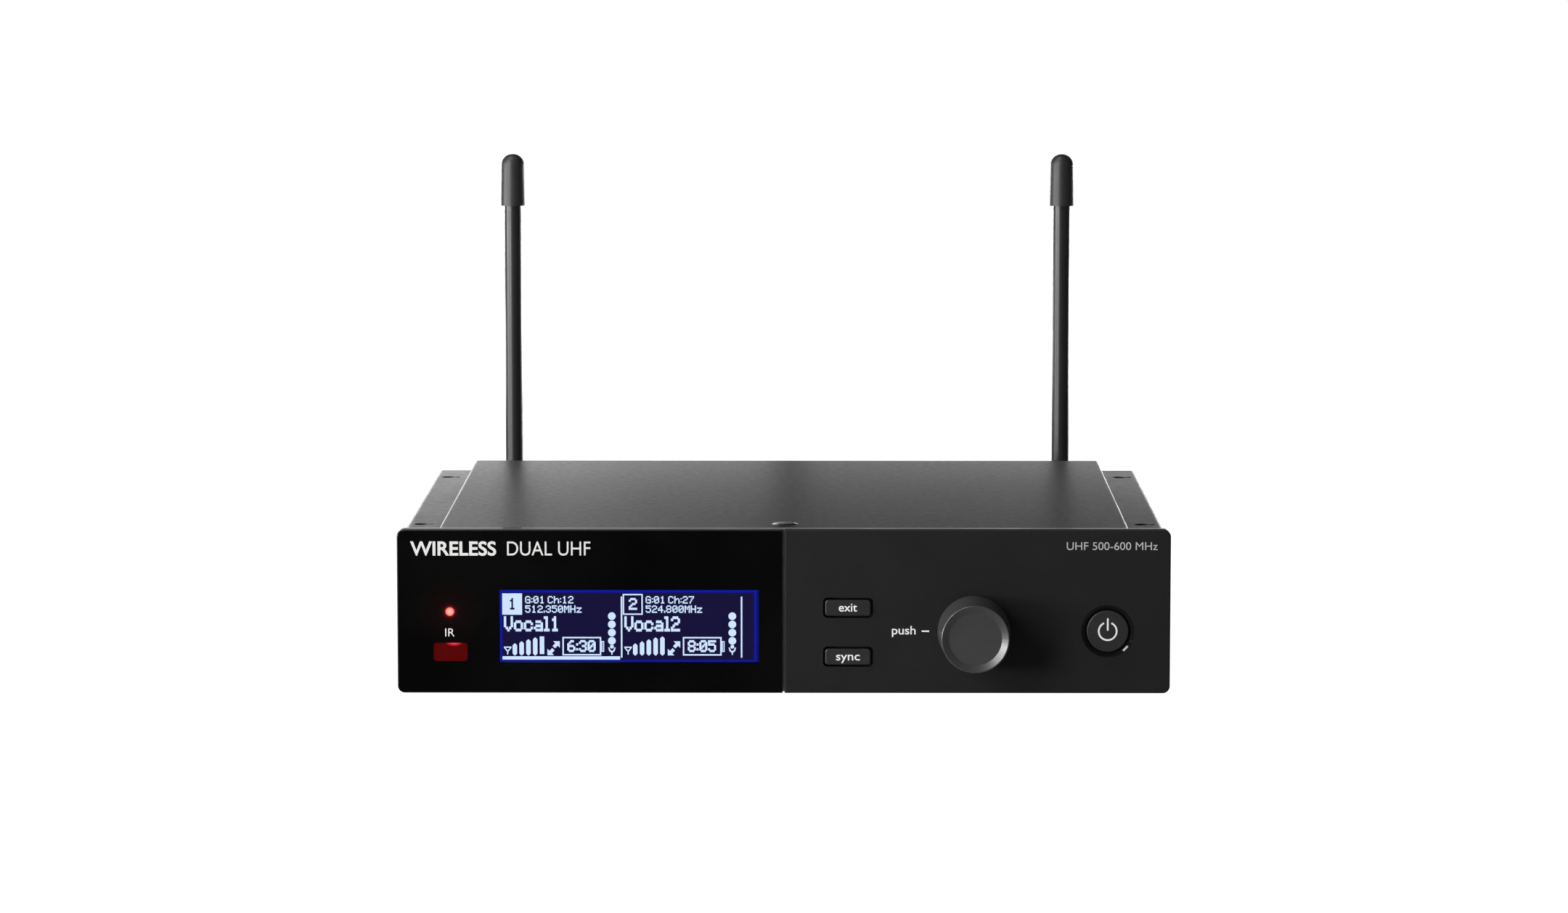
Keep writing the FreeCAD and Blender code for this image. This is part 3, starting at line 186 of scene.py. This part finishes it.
# ---------------------------------------------------------------- materials
class Paint:
    """One procedural material: a principled shader fed by a few named building blocks."""

    def __init__(self, name):
        self.material = bpy.data.materials.new(name)
        self.material.use_nodes = True
        self.tree = self.material.node_tree
        self.shader = self.tree.nodes["Principled BSDF"]
        self.coordinates = self.add("ShaderNodeTexCoord").outputs["Object"]

    def add(self, kind, **settings):
        node = self.tree.nodes.new(kind)
        for name, value in settings.items():
            setattr(node, name, value)
        return node

    def link(self, source, target):
        self.tree.links.new(source, target)
        return self

    def fix(self, **sockets):
        """Set constants on the shader's own sockets."""
        for name, value in sockets.items():
            self.shader.inputs[name.replace("_", " ")].default_value = value
        return self

    def stretched(self, scales):
        """The object's coordinates, stretched by a scale along each axis."""
        mapping = self.add("ShaderNodeMapping")
        mapping.inputs["Scale"].default_value = scales
        self.link(self.coordinates, mapping.inputs["Vector"])
        return mapping.outputs[0]

    def noise(self, scale, detail=3.0, vector=None):
        """Noise whose features are about 1/scale of a metre across."""
        node = self.add("ShaderNodeTexNoise")
        node.inputs["Scale"].default_value = scale
        node.inputs["Detail"].default_value = detail
        self.link(vector or self.coordinates, node.inputs["Vector"])
        return node.outputs["Fac"]

    def cells(self, scale, vector=None):
        """Distance to the nearest of many scattered points."""
        node = self.add("ShaderNodeTexVoronoi")
        node.inputs["Scale"].default_value = scale
        self.link(vector or self.coordinates, node.inputs["Vector"])
        return node.outputs["Distance"]

    def ranged(self, value, low, high, start=0.3, end=0.7):
        """A value mapped on to low..high, for the shader's own scalar sockets."""
        node = self.add("ShaderNodeMapRange")
        for socket, number in zip((1, 2, 3, 4), (start, end, low, high)):
            node.inputs[socket].default_value = number
        self.link(value, node.inputs[0])
        return node.outputs[0]

    def tint(self, value, dark, light, start=0.3, end=0.7):
        """Colour that runs from dark to light with a value."""
        node = self.add("ShaderNodeValToRGB")
        first, last = node.color_ramp.elements
        first.position, last.position = start, end
        first.color, last.color = (*dark, 1), (*light, 1)
        self.link(value, node.inputs[0])
        return node.outputs["Color"]

    def ramp(self, value, *stops):
        """Colour read off (place, colour) stops with a value from 0 to 1."""
        node = self.add("ShaderNodeValToRGB")
        elements = node.color_ramp.elements
        elements[0].position, elements[-1].position = stops[0][0], stops[-1][0]
        elements[0].color, elements[-1].color = (*stops[0][1], 1), (*stops[-1][1], 1)
        for position, colour in stops[1:-1]:
            elements.new(position).color = (*colour, 1)
        self.link(value, node.inputs[0])
        return node.outputs["Color"]

    def distance(self, spot, squash=1.0):
        """Distance from a spot on the front panel, with the height counted more or less."""
        shift = self.add("ShaderNodeVectorMath", operation="SUBTRACT")
        shift.inputs[1].default_value = spot
        self.link(self.coordinates, shift.inputs[0])
        scale = self.add("ShaderNodeVectorMath", operation="MULTIPLY")
        scale.inputs[1].default_value = (1, 0, squash)
        self.link(shift.outputs[0], scale.inputs[0])
        length = self.add("ShaderNodeVectorMath", operation="LENGTH")
        self.link(scale.outputs[0], length.inputs[0])
        return length.outputs["Value"]

    def axes(self):
        """The object's coordinates, one axis at a time."""
        node = self.add("ShaderNodeSeparateXYZ")
        self.link(self.coordinates, node.inputs[0])
        return node.outputs

    def least(self, values):
        """The smallest of some values."""
        smallest = values[0]
        for value in values[1:]:
            node = self.add("ShaderNodeMath", operation="MINIMUM")
            self.link(smallest, node.inputs[0])
            self.link(value, node.inputs[1])
            smallest = node.outputs[0]
        return smallest

    def coloured(self, value, dark, light, start=0.3, end=0.7):
        self.link(self.tint(value, dark, light, start, end), self.shader.inputs["Base Color"])
        return self

    def rough(self, value, low, high, start=0.3, end=0.7):
        self.link(self.ranged(value, low, high, start, end), self.shader.inputs["Roughness"])
        return self

    def bumped(self, *layers):
        """Relief from (height value, depth in metres) layers, one over the other."""
        normal = None
        for value, depth in layers:
            bump = self.add("ShaderNodeBump")
            bump.inputs["Strength"].default_value = 1.0
            bump.inputs["Distance"].default_value = depth
            self.link(value, bump.inputs["Height"])
            if normal:
                self.link(normal, bump.inputs["Normal"])
            normal = bump.outputs["Normal"]
        self.link(normal, self.shader.inputs["Normal"])
        return self


def shade(colour, factor):
    """A colour made lighter or darker."""
    return tuple(min(1.0, value * factor) for value in colour)


def moulded(name, colour, low, high, grain=2600, depth=0.000006, **constants):
    """Moulded plastic or rubber: fine grain in relief, uneven gloss, slow changes of tone."""
    paint = Paint(name)
    slow = paint.noise(55, 4)
    fine = paint.noise(grain, 2)
    paint.coloured(slow, shade(colour, 0.86), shade(colour, 1.12))
    paint.rough(paint.noise(140, 4), low, high)
    return paint.bumped((fine, depth)).fix(**constants).material


def powder_coat():
    """Fine black powder coat: orange-peel relief with tiny raised specks."""
    paint = Paint("powder_coat")
    peel = paint.noise(1900, 3)
    specks = paint.cells(3000)
    paint.coloured(paint.noise(2600, 3), (0.013, 0.013, 0.0133), (0.029, 0.029, 0.0295))
    paint.rough(paint.noise(500, 4), 0.40, 0.47)
    return paint.bumped((peel, 0.000005), (specks, 0.000008)).fix(Specular_IOR_Level=0.5).material


def gloss_black(face, lamp):
    """Polished black acrylic, dull on its moulded edges, with a painted red glow round the status lamp.
    """
    paint = Paint("gloss_black")
    paint.coloured(paint.noise(40, 3), (0.0012, 0.0012, 0.0012), (0.0026, 0.0024, 0.0024))
    haze = paint.ranged(paint.noise(34, 6), 0.035, 0.085)
    edge = paint.ranged(paint.axes()["Y"], 0.0, 0.42, face + 0.02 * MM, face + 0.06 * MM)
    total = paint.add("ShaderNodeMath", operation="ADD")
    paint.link(haze, total.inputs[0]).link(edge, total.inputs[1])
    paint.link(total.outputs[0], paint.shader.inputs["Roughness"])
    # painted glow: the status lamp's red light, painted as emission on the black mask round it
    painted_lamp_halo = paint.ranged(paint.distance(lamp), 0.0, 1.0, 1.0 * MM, 9.0 * MM)
    glow = paint.ramp(painted_lamp_halo, (0.0, (0.42, 0.012, 0.02)), (0.05, (0.06, 0.002, 0.003)),
                      (0.12, (0.009, 0.0006, 0.0007)), (0.30, (0.003, 0.0004, 0.0004)), (1.0, (0, 0, 0)))
    paint.link(glow, paint.shader.inputs["Emission Color"])
    return paint.bumped((paint.noise(18, 2), 0.000010)).fix(Emission_Strength=1.0).material


def matte_black():
    """Fine spark-eroded matte face."""
    paint = Paint("matte_black")
    paint.coloured(paint.noise(3200, 2), (0.0062, 0.0062, 0.0062), (0.0092, 0.0092, 0.0092))
    paint.rough(paint.noise(60, 4), 0.50, 0.60)
    return paint.bumped((paint.noise(4200, 2), 0.000005)).fix(Specular_IOR_Level=0.28).material


def metal(name, colour, low, high, stretch=(1, 1, 1), grain=900, depth=0.000002):
    """Plated or bare metal with drawn or rolled marks."""
    paint = Paint(name)
    marks = paint.noise(grain, 4, paint.stretched(stretch))
    paint.coloured(marks, shade(colour, 0.88), shade(colour, 1.08))
    paint.rough(paint.noise(120, 4), low, high)
    return paint.bumped((marks, depth)).fix(Metallic=1.0).material


def circuit_board():
    """Green solder mask with copper runs that show through."""
    paint = Paint("circuit_board")
    runs = paint.add("ShaderNodeTexBrick")
    runs.inputs["Scale"].default_value = 260
    runs.inputs["Color1"].default_value = (0.010, 0.075, 0.032, 1)
    runs.inputs["Color2"].default_value = (0.013, 0.095, 0.040, 1)
    runs.inputs["Mortar"].default_value = (0.035, 0.19, 0.08, 1)
    runs.inputs["Mortar Size"].default_value = 0.03
    paint.link(paint.coordinates, runs.inputs["Vector"])
    paint.link(runs.outputs["Color"], paint.shader.inputs["Base Color"])
    paint.rough(paint.noise(500, 3), 0.25, 0.4)
    return paint.bumped((runs.outputs["Fac"], 0.00001)).material


def window_clear():
    """Clear acrylic pane."""
    paint = Paint("window_clear")
    paint.coloured(paint.noise(30), (0.93, 0.94, 0.96), (0.97, 0.98, 1.0))
    paint.rough(paint.noise(30, 5), 0.0, 0.02)
    return paint.fix(IOR=1.45, Transmission_Weight=1.0).material


def lcd_field(low, high):
    """Lit display ground: navy inside the dot area, brighter blue where the edge lights bleed."""
    paint = Paint("display_ground")
    axes = paint.axes()
    insets = []
    for axis in ("X", "Z"):
        for sign, edge in ((1, low), (-1, high)):
            inset = paint.add("ShaderNodeMath", operation="MULTIPLY_ADD")
            inset.inputs[1].default_value = sign
            inset.inputs[2].default_value = -sign * getattr(edge, axis.lower())
            paint.link(axes[axis], inset.inputs[0])
            insets.append(inset.outputs[0])
    nearest = paint.ranged(paint.least(insets), 0.0, 1.0, -1.0 * MM, 1.0 * MM)
    ground = paint.ramp(nearest, (0.0, (0.004, 0.006, 0.12)), (0.30, (0.006, 0.014, 0.40)),
                        (0.47, (0.008, 0.008, 0.15)), (0.55, (0.0105, 0.0080, 0.048)),
                        (1.0, (0.0095, 0.0072, 0.045)))
    paint.link(ground, paint.shader.inputs["Emission Color"])
    paint.coloured(paint.noise(900, 2), (0.0005, 0.0005, 0.001), (0.001, 0.001, 0.002))
    paint.rough(paint.noise(50), 0.6, 0.7)
    return paint.fix(Emission_Strength=1.0, Specular_IOR_Level=0.0).material


def lcd_dots(pitch):
    """Lit bluish-white dots, parted by the fine dark grid between the display's cells."""
    paint = Paint("display_dots")
    axes = paint.axes()
    waves = []
    for axis in ("X", "Z"):
        wave = paint.add("ShaderNodeMath", operation="PINGPONG")
        wave.inputs[1].default_value = pitch / 2
        paint.link(axes[axis], wave.inputs[0])
        waves.append(wave.outputs[0])
    glow = paint.tint(paint.least(waves), (0.55, 0.68, 0.88), (0.80, 0.90, 1.0), 0.0, 0.02 * MM)
    paint.link(glow, paint.shader.inputs["Emission Color"])
    paint.coloured(paint.noise(400), (0.05, 0.06, 0.08), (0.06, 0.07, 0.1))
    paint.rough(paint.noise(400), 0.6, 0.7)
    return paint.fix(Emission_Strength=1.25, Specular_IOR_Level=0.0).material


def red_glow(name, spot, radius, core, rim, body, squash=1.0):
    """Red plastic that glows, brightest round one spot and falling off with distance: the status light's
    own lamp, and painted glow on the infrared window.
    """
    paint = Paint(name)
    away = paint.ranged(paint.distance(spot, squash), 0.0, 1.0, 0.0, radius)
    glow = paint.ramp(away, (0.0, core), (0.6, rim), (1.0, body))
    paint.link(glow, paint.shader.inputs["Emission Color"])
    paint.coloured(paint.noise(300), shade(body, 0.05), shade(body, 0.08))
    paint.rough(paint.noise(200), 0.15, 0.25)
    return paint.fix(Emission_Strength=1.0).material


def print_white(name, colour):
    """Screen-printed ink."""
    paint = Paint(name)
    paint.coloured(paint.noise(2500, 3), shade(colour, 0.9), colour)
    paint.rough(paint.noise(900), 0.5, 0.65)
    return paint.bumped((paint.noise(5000), 0.000004)).material


def dress_nodes():
    """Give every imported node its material, by the record's slots."""
    window_low, window_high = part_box("display_window")
    infra_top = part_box("infrared_window")[1].z
    # where the painted bright spot on the infrared window sits, just right of the middle of its top edge
    infrared_painted_glow_spot = (middle("infrared_window").x + 0.9 * MM, 0, infra_top)
    dark = (0.018, 0.018, 0.0185)
    looks = {
        "housing_paint": powder_coat(),
        # painted highlight: the bezel's grey is lighter than the dark plastic it stands for, to brighten
        # the thin strip along its top rim
        "bezel_plastic": moulded("bezel_satin_painted_rim_highlight", (0.30, 0.30, 0.302), 0.30, 0.38),
        "gloss_mask": gloss_black(PANEL_LOW.y, middle("status_light_guide")),
        "matte_fascia": matte_black(),
        "clear_window": window_clear(),
        # painted glow: the infrared window is no lamp, so its red glow and the bright spot near its top
        # edge are painted light
        "infrared_red": red_glow("infrared_red", infrared_painted_glow_spot, 2.2 * MM,
                                 (1.0, 0.07, 0.11), (0.60, 0.012, 0.022), (0.083, 0.0008, 0.0008), 2.4),
        "status_red": red_glow("status_red", middle("status_light_guide"), 1.12 * MM,
                               (1.0, 0.62, 0.42), (0.97, 0.34, 0.27), (0.80, 0.14, 0.13)),
        "gloss_trim": moulded("ring_gloss", (0.006, 0.006, 0.006), 0.06, 0.12, 900, 0.000001),
        "display_panel": lcd_field(window_low + GROUND_INSET_LOW, window_high - GROUND_INSET_HIGH),
        "light_panel": moulded("diffuser", (0.8, 0.83, 0.92), 0.4, 0.5),
        "tinned_steel": metal("tinned_steel", (0.62, 0.62, 0.6), 0.28, 0.4, (1, 12, 1)),
        "key_plastic": moulded("key_matte", (0.0165, 0.0165, 0.0167), 0.38, 0.46, 3600, 0.000003),
        "knob_plastic": moulded("knob_satin", (0.036, 0.036, 0.037), 0.30, 0.36, 3200, 0.000003,
                                Specular_IOR_Level=1.0),
        "switch_plastic": moulded("switch_black", (0.02, 0.02, 0.02), 0.45, 0.55),
        "plated_steel": metal("plated_steel", (0.62, 0.62, 0.61), 0.22, 0.34),
        "bright_screw": metal("bright_screw", (0.80, 0.79, 0.77), 0.16, 0.26),
        "nickel": metal("nickel", (0.66, 0.65, 0.62), 0.14, 0.24),
        "black_zinc": moulded("black_zinc", (0.03, 0.03, 0.03), 0.3, 0.42, 1500),
        "gold_contact": metal("gold_contact", (0.83, 0.62, 0.27), 0.18, 0.3),
        "board_green": circuit_board(),
        "capacitor_can": metal("capacitor_can", (0.7, 0.7, 0.72), 0.2, 0.3),
        "ribbon_white": moulded("ribbon_white", (0.75, 0.75, 0.72), 0.4, 0.5),
        "lead_jacket": moulded("lead_jacket", dark, 0.4, 0.5),
        "white_dielectric": moulded("white_dielectric", (0.8, 0.79, 0.75), 0.3, 0.45),
        "foot_rubber": moulded("foot_rubber", (0.02, 0.02, 0.02), 0.7, 0.85, 1800, 0.00002),
        "antenna_plastic": moulded("antenna_satin", dark, 0.38, 0.48),
        "whip_sleeve": moulded("whip_satin", (0.018, 0.018, 0.018), 0.30, 0.36, 4200, 0.0000008),
        "tip_rubber": moulded("tip_rubber", (0.022, 0.022, 0.022), 0.42, 0.48, 3600, 0.000004),
    }
    for part in frame["record"]["subparts"]:
        piece = frame["nodes"][part["node"]]
        material = looks[part["material_slot"]]
        for holder in piece.material_slots:
            holder.material = material
        if not piece.material_slots:
            piece.data.materials.append(material)
    return looks


# ---------------------------------------------------------------- the lit display
GLYPHS = {
    "0": ".###. #...# #..## #.#.# ##..# #...# .###.", "1": "..#.. .##.. ..#.. ..#.. ..#.. ..#.. .###.",
    "2": ".###. #...# ....# ..##. .#... #.... #####", "3": ".###. #...# ....# ..##. ....# #...# .###.",
    "4": "...#. ..##. .#.#. #..#. ##### ...#. ...#.", "5": "##### #.... ####. ....# ....# #...# .###.",
    "6": "..##. .#... #.... ####. #...# #...# .###.", "7": "##### ....# ...#. ..#.. ..#.. .#... .#...",
    "8": ".###. #...# #...# .###. #...# #...# .###.", "G": ".###. #...# #.... #.### #...# #...# .####",
    "C": ".###. #...# #.... #.... #.... #...# .###.", "M": "#...# ##.## #.#.# #.#.# #...# #...# #...#",
    "H": "#...# #...# #...# ##### #...# #...# #...#", "V": "#...# #...# #...# #...# #...# .#.#. ..#..",
    "h": "#.... #.... #.##. ##..# #...# #...# #...#", "z": "..... ..... ##### ...#. ..#.. .#... #####",
    "o": "..... ..... .###. #...# #...# #...# .###.", "c": "..... ..... .###. #...# #.... #...# .###.",
    "a": "..... ..... .###. ....# .#### #...# .####", "l": "##. .#. .#. .#. .#. .#. ###",
    ":": ". . # . . # .", ".": ". . . . . # #", " ": ". . . . . . .",
}


def add_piece(name, data, material, body=ROOT):
    """A new piece from a mesh, with its finish and the body that it rides on."""
    data.materials.append(material)
    piece = bpy.data.objects.new(name, data)
    bpy.context.scene.collection.objects.link(piece)
    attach(piece, body)


class Canvas:
    """Thin flat shapes that face forwards, drawn in dots across and down from a corner."""

    def __init__(self, corner, pitch, thick):
        self.corner, self.pitch, self.thick = corner, pitch, thick
        self.mesh = bmesh.new()

    def shape(self, points):
        """A thin plate whose outline goes round the given dots."""
        rings = []
        for depth in (0, self.thick):
            spots = [self.corner + Vector((x * self.pitch, -depth, -y * self.pitch)) for x, y in points]
            rings.append([self.mesh.verts.new(spot) for spot in spots])
        back, front = rings
        faces = [front, list(reversed(back))]
        for i in range(len(points)):
            following = (i + 1) % len(points)
            faces.append([back[i], back[following], front[following], front[i]])
        for corners in faces:
            self.mesh.faces.new(corners)

    def bar(self, left, top, right, bottom):
        self.shape([(left, bottom), (right, bottom), (right, top), (left, top)])

    def frame(self, left, top, right, bottom, line):
        """An open rectangle drawn with four bars."""
        self.bar(left, top, right, top + line)
        self.bar(left, bottom - line, right, bottom)
        self.bar(left, top + line, left + line, bottom - line)
        self.bar(right - line, top + line, right, bottom - line)

    def disc(self, x, y, radius, sides=16):
        self.shape([(x + radius * math.cos(2 * math.pi * i / sides),
                     y + radius * math.sin(2 * math.pi * i / sides)) for i in range(sides)])

    def capsule(self, left, top, right, bottom):
        """A level bar with pointed, rounded ends."""
        nose = (right - left) * 0.42
        self.shape([(left, bottom - nose), (left + nose, bottom), (right - nose, bottom),
                    (right, bottom - nose), (right, top + nose), (right - nose, top),
                    (left + nose, top), (left, top + nose)])

    def words(self, text, x, y, wide, tall, gap=1.0, bold=0.1):
        """Text in five-by-seven cells, each wide by tall dots and bolder by a margin all round."""
        for letter in text:
            rows = GLYPHS[letter].split()
            for line, row in enumerate(rows):
                start = None
                for column, dot in enumerate(row + "."):
                    if dot == "#" and start is None:
                        start = column
                    elif dot != "#" and start is not None:
                        self.bar(x + start * wide - bold, y + line * tall - bold,
                                 x + column * wide + bold, y + (line + 1) * tall + bold)
                        start = None
            x += (len(rows[0]) + gap) * wide

    def finish(self, name, material, body=ROOT):
        """Turn the drawn shapes into a piece."""
        data = bpy.data.meshes.new(name)
        bmesh.ops.recalc_face_normals(self.mesh, faces=self.mesh.faces)
        self.mesh.to_mesh(data)
        self.mesh.free()
        add_piece(name, data, material, body)


def aerial_sign(canvas, x):
    """An open triangle on a mast, in two joined shapes."""
    canvas.bar(x + 1.4, 51.4, x + 8.6, 52.6)
    canvas.shape([(x + 1.4, 52.6), (x + 2.8, 52.6), (x + 5, 55.2), (x + 7.2, 52.6), (x + 8.6, 52.6),
                  (x + 5.6, 56.4), (x + 5.6, 59), (x + 4.4, 59), (x + 4.4, 56.4)])


def signal_bars(canvas, x, chosen):
    """Five rising bars, the last one square on the chosen channel."""
    tops = (48.4, 46.4, 44.4, 42.6, 41.6)
    for index, top in enumerate(tops):
        left = x + 9.7 + 6.5 * index
        if chosen and index == len(tops) - 1:
            canvas.bar(left, top, left + 4.3, 58.6)
        else:
            canvas.capsule(left, top, left + 4.3, 60)


def double_arrow(canvas, x):
    """Two short arrows that point away from each other."""
    arrow = [(48.6, 46.2), (54.9, 46.2), (54.9, 52.5), (52.9, 50.5), (50.3, 53.1), (48.0, 50.8),
             (50.6, 48.2)]
    canvas.shape([(x + across, down) for across, down in arrow])
    canvas.shape([(x + 97.9 - across, 106.0 - down) for across, down in arrow])


def battery_sign(canvas, x, time):
    """A battery's outline round the time left."""
    canvas.frame(x + 57.4, 42, x + 94.6, 60, 1.4)
    canvas.frame(x + 94.6, 46, x + 97.4, 56.4, 1.0)
    canvas.words(time, x + 62.4, 45.4, 1.42, 1.56, 0.9, 0.3)


def level_meter(canvas, x):
    """Four level dots over a small microphone."""
    for index in range(4):
        canvas.disc(x + 104.8, 21.9 + 7.95 * index, 3.75)
    canvas.disc(x + 104.8, 51.4, 1.9, 8)
    canvas.shape([(x + 101.2, 52.2), (x + 102.4, 52.2), (x + 103.4, 54.8), (x + 104.8, 55.6),
                  (x + 106.2, 54.8), (x + 107.2, 52.2), (x + 108.4, 52.2), (x + 107.4, 55.8),
                  (x + 105.4, 57.2), (x + 105.4, 59.2), (x + 104.2, 59.2), (x + 104.2, 57.2),
                  (x + 102.2, 55.8)])


def channel(canvas, dark, x, number, group, band, name, time, chosen):
    """One channel's half of the display."""
    if chosen:
        canvas.bar(x, 0, x + 19, 20.6)
        dark.words(number, x + 6.1, 4.6, 1.4, 1.57)
        canvas.bar(x, 60.8, x + 112.6, 64)
    else:
        canvas.frame(x, 0.4, x + 19.2, 20.6, 1.3)
        canvas.words(number, x + 6.0, 4.6, 1.5, 1.57, bold=0.25)
    canvas.words(group, x + 22, 2.6, 0.98, 1.0)
    canvas.words(band, x + 22, 11.6, 0.98, 1.0)
    canvas.words(name, x + 1.8, 22.4, 1.62, 2.0, 0.9, 0.32)
    aerial_sign(canvas, x)
    signal_bars(canvas, x, chosen)
    double_arrow(canvas, x)
    battery_sign(canvas, x, time)
    level_meter(canvas, x)


def make_display(looks):
    """Dots of the two channels on the display's glass."""
    low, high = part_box("display_window")
    glass_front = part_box("display_glass")[0].y
    left, right = low.x + DOTS_LEFT, high.x - DOTS_RIGHT
    pitch = (right - left) / DOTS_ACROSS
    top = high.z - DOTS_TOP
    lit = Canvas(Vector((left, glass_front, top)), pitch, DOT_DEPTH)
    dark = Canvas(Vector((left, glass_front - 0.02 * MM, top)), pitch, DOT_DEPTH)
    channel(lit, dark, 0, "1", "G:01 Ch:12", "512.350MHz", "Vocal1", "6:30", True)
    channel(lit, dark, 115.3, "2", "G:01 Ch:27", "524.800MHz", "Vocal2", "8:05", False)
    for x in (113.4, 228.2):
        lit.bar(x, 3, x + 1.5, 62)
    lit.finish("display_dots", lcd_dots(pitch))
    dark.finish("display_digit", looks["display_panel"])


# ---------------------------------------------------------------- prints and small trim
def swell(mesh, distance):
    """Make flat letters bolder by pushing their outlines out."""
    pushes = {}
    for edge in mesh.edges:
        if len(edge.link_faces) == 1:
            face = edge.link_faces[0]
            start, end = (vertex.co for vertex in edge.verts)
            out = (end - start).cross(face.normal).normalized()
            if out.dot(face.calc_center_median() - start) > 0:
                out.negate()
            for vertex in edge.verts:
                pushes.setdefault(vertex, []).append(out)
    for vertex, ways in pushes.items():
        total = sum(ways, Vector())
        vertex.co += total * (2 * distance / max(total.length_squared, 1.2))


def flat_print(name, text, spot, tall, wide, material, body=ROOT, align="CENTER", bold=0.0,
               facing="front"):
    """Printed words on a face: cap height, width and added boldness in millimetres, and a spot on
    the words' base line."""
    curve = bpy.data.curves.new(name + "_curve", "FONT")
    curve.body = text
    curve.align_x = align
    curve.extrude = 0.0
    holder = bpy.data.objects.new(name + "_holder", curve)
    bpy.context.scene.collection.objects.link(holder)
    bpy.context.view_layer.update()
    graph = bpy.context.evaluated_depsgraph_get()
    data = bpy.data.meshes.new_from_object(holder.evaluated_get(graph))
    bpy.data.objects.remove(holder)
    low = min(vertex.co.x for vertex in data.vertices)
    high = max(vertex.co.x for vertex in data.vertices)
    anchor = {"LEFT": low, "CENTER": (low + high) / 2, "RIGHT": high}[align]
    grow_x, grow_y = wide * MM / (high - low), tall / CAP_HEIGHT * MM
    turn = Matrix.Rotation(math.radians(90), 4, "X")
    if facing == "back":
        turn = Matrix.Rotation(math.radians(180), 4, "Z") @ turn
    for vertex in data.vertices:
        vertex.co = turn @ Vector(((vertex.co.x - anchor) * grow_x, vertex.co.y * grow_y, 0))
        vertex.co += Vector(spot)
    thin = bmesh.new()
    thin.from_mesh(data)
    bmesh.ops.remove_doubles(thin, verts=thin.verts, dist=1e-7)
    swell(thin, bold * MM)
    out = turn @ Vector((0, 0, INK_DEPTH))
    made = bmesh.ops.extrude_face_region(thin, geom=thin.faces[:])["geom"]
    raised = [item for item in made if isinstance(item, bmesh.types.BMVert)]
    bmesh.ops.translate(thin, verts=raised, vec=out)
    bmesh.ops.recalc_face_normals(thin, faces=thin.faces)
    thin.to_mesh(data)
    thin.free()
    data.materials.clear()
    add_piece(name, data, material, body)


def power_sign(name, centre, outer, inner, opening, bar, material, body):
    """A flat ring, open at its top by an angle each side, with an upright bar in the gap."""
    canvas = Canvas(Vector(centre), MM, INK_DEPTH)
    steps = 48
    sweep = 360 - 2 * opening
    for index in range(steps):
        start, end = (math.radians(opening + sweep * (index + step) / steps) for step in (0, 1))
        corners = ((inner, start), (inner, end), (outer, end), (outer, start))
        canvas.shape([(radius * math.sin(angle), -radius * math.cos(angle))
                      for radius, angle in corners])
    canvas.capsule(*bar)
    bmesh.ops.remove_doubles(canvas.mesh, verts=canvas.mesh.verts, dist=1e-7)
    canvas.finish(name, material, body)


def make_prints():
    """All printed words and signs: generic words for use, and none that names a maker."""
    white = print_white("ink_white", (0.68, 0.68, 0.68))
    silver = print_white("ink_silver", (0.56, 0.56, 0.55))
    grey = print_white("ink_grey", (0.36, 0.36, 0.36))
    for name, word, across, up, tall, wide, ink, slot, align, bold in (
            ("print_title", "WIRELESS", -94.9, 35.45, 3.6, 21.6, silver, "gloss_mask", "LEFT", 0.12),
            ("print_kind", "DUAL UHF", -70.4, 35.4, 3.75, 21.2, silver, "gloss_mask", "LEFT", 0.0),
            ("print_band", "UHF 500-600 MHz", 95.1, 36.9, 2.1, 23.1, grey, "matte_fascia", "RIGHT", 0.0),
            ("print_infrared", "IR", -85.1, 14.55, 2.15, 2.4, silver, "gloss_mask", "CENTER", 0.0),
            ("print_push", "push", 30.6, 15.2, 2.2, 6.0, white, "matte_fascia", "CENTER", 0.03),
            ("print_dash", "-", 36.1, 15.05, 3.024, 1.9, white, "matte_fascia", "CENTER", 0.0)):
        flat_print(name, word, on_panel(across, up), tall, wide, ink, align=align, bold=bold)
    for name, word, node, wide, body in (("print_exit", "exit", "exit_button", 4.6, "exit_key"),
                                         ("print_sync", "sync", "sync_button", 6.0, "sync_key")):
        centre = middle(node)
        spot = (centre.x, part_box(node)[0].y, centre.z - 0.85 * MM)
        flat_print(name, word, spot, 2.2, wide, white, body, bold=0.03)
    centre = middle("power_button")
    centre.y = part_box("power_button")[0].y
    power_sign("print_power", centre, 2.5, 2.06, 24, (-0.22, -3.4, 0.22, -0.1), white,
               "power_key")


def make_rear_prints():
    """Generic labels over the rear connectors."""
    ink = print_white("ink_rear", (0.55, 0.55, 0.55))
    labels = []
    for node, half, words, wide in (("antenna_jack_nuts", 7.3, ("ANTENNA A", "ANTENNA B"), 13.0),
                                    ("balanced_shells", 13.0, ("BALANCED 1", "BALANCED 2"), 14.0),
                                    ("line_jack_nuts", 7.5, ("LINE 1", "LINE 2"), 7.0)):
        low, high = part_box(node)
        for word, across in zip(words, (high.x - half * MM, low.x + half * MM)):
            labels.append((word, across, high.z, wide))
    for node, word, wide in (("network_jack", "NETWORK", 10.0), ("dc_inlet_shell", "DC IN", 6.5)):
        labels.append((word, middle(node).x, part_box(node)[1].z, wide))
    for word, across, top, wide in labels:
        name = "print_" + word.lower().replace(" ", "_")
        flat_print(name, word, (across, REAR, top + 1.2 * MM), 1.728, wide, ink,
                   facing="back")


make_camera()
make_floor()
make_surroundings()
make_lights()
looks = dress_nodes()
make_display(looks)
make_prints()
make_rear_prints()
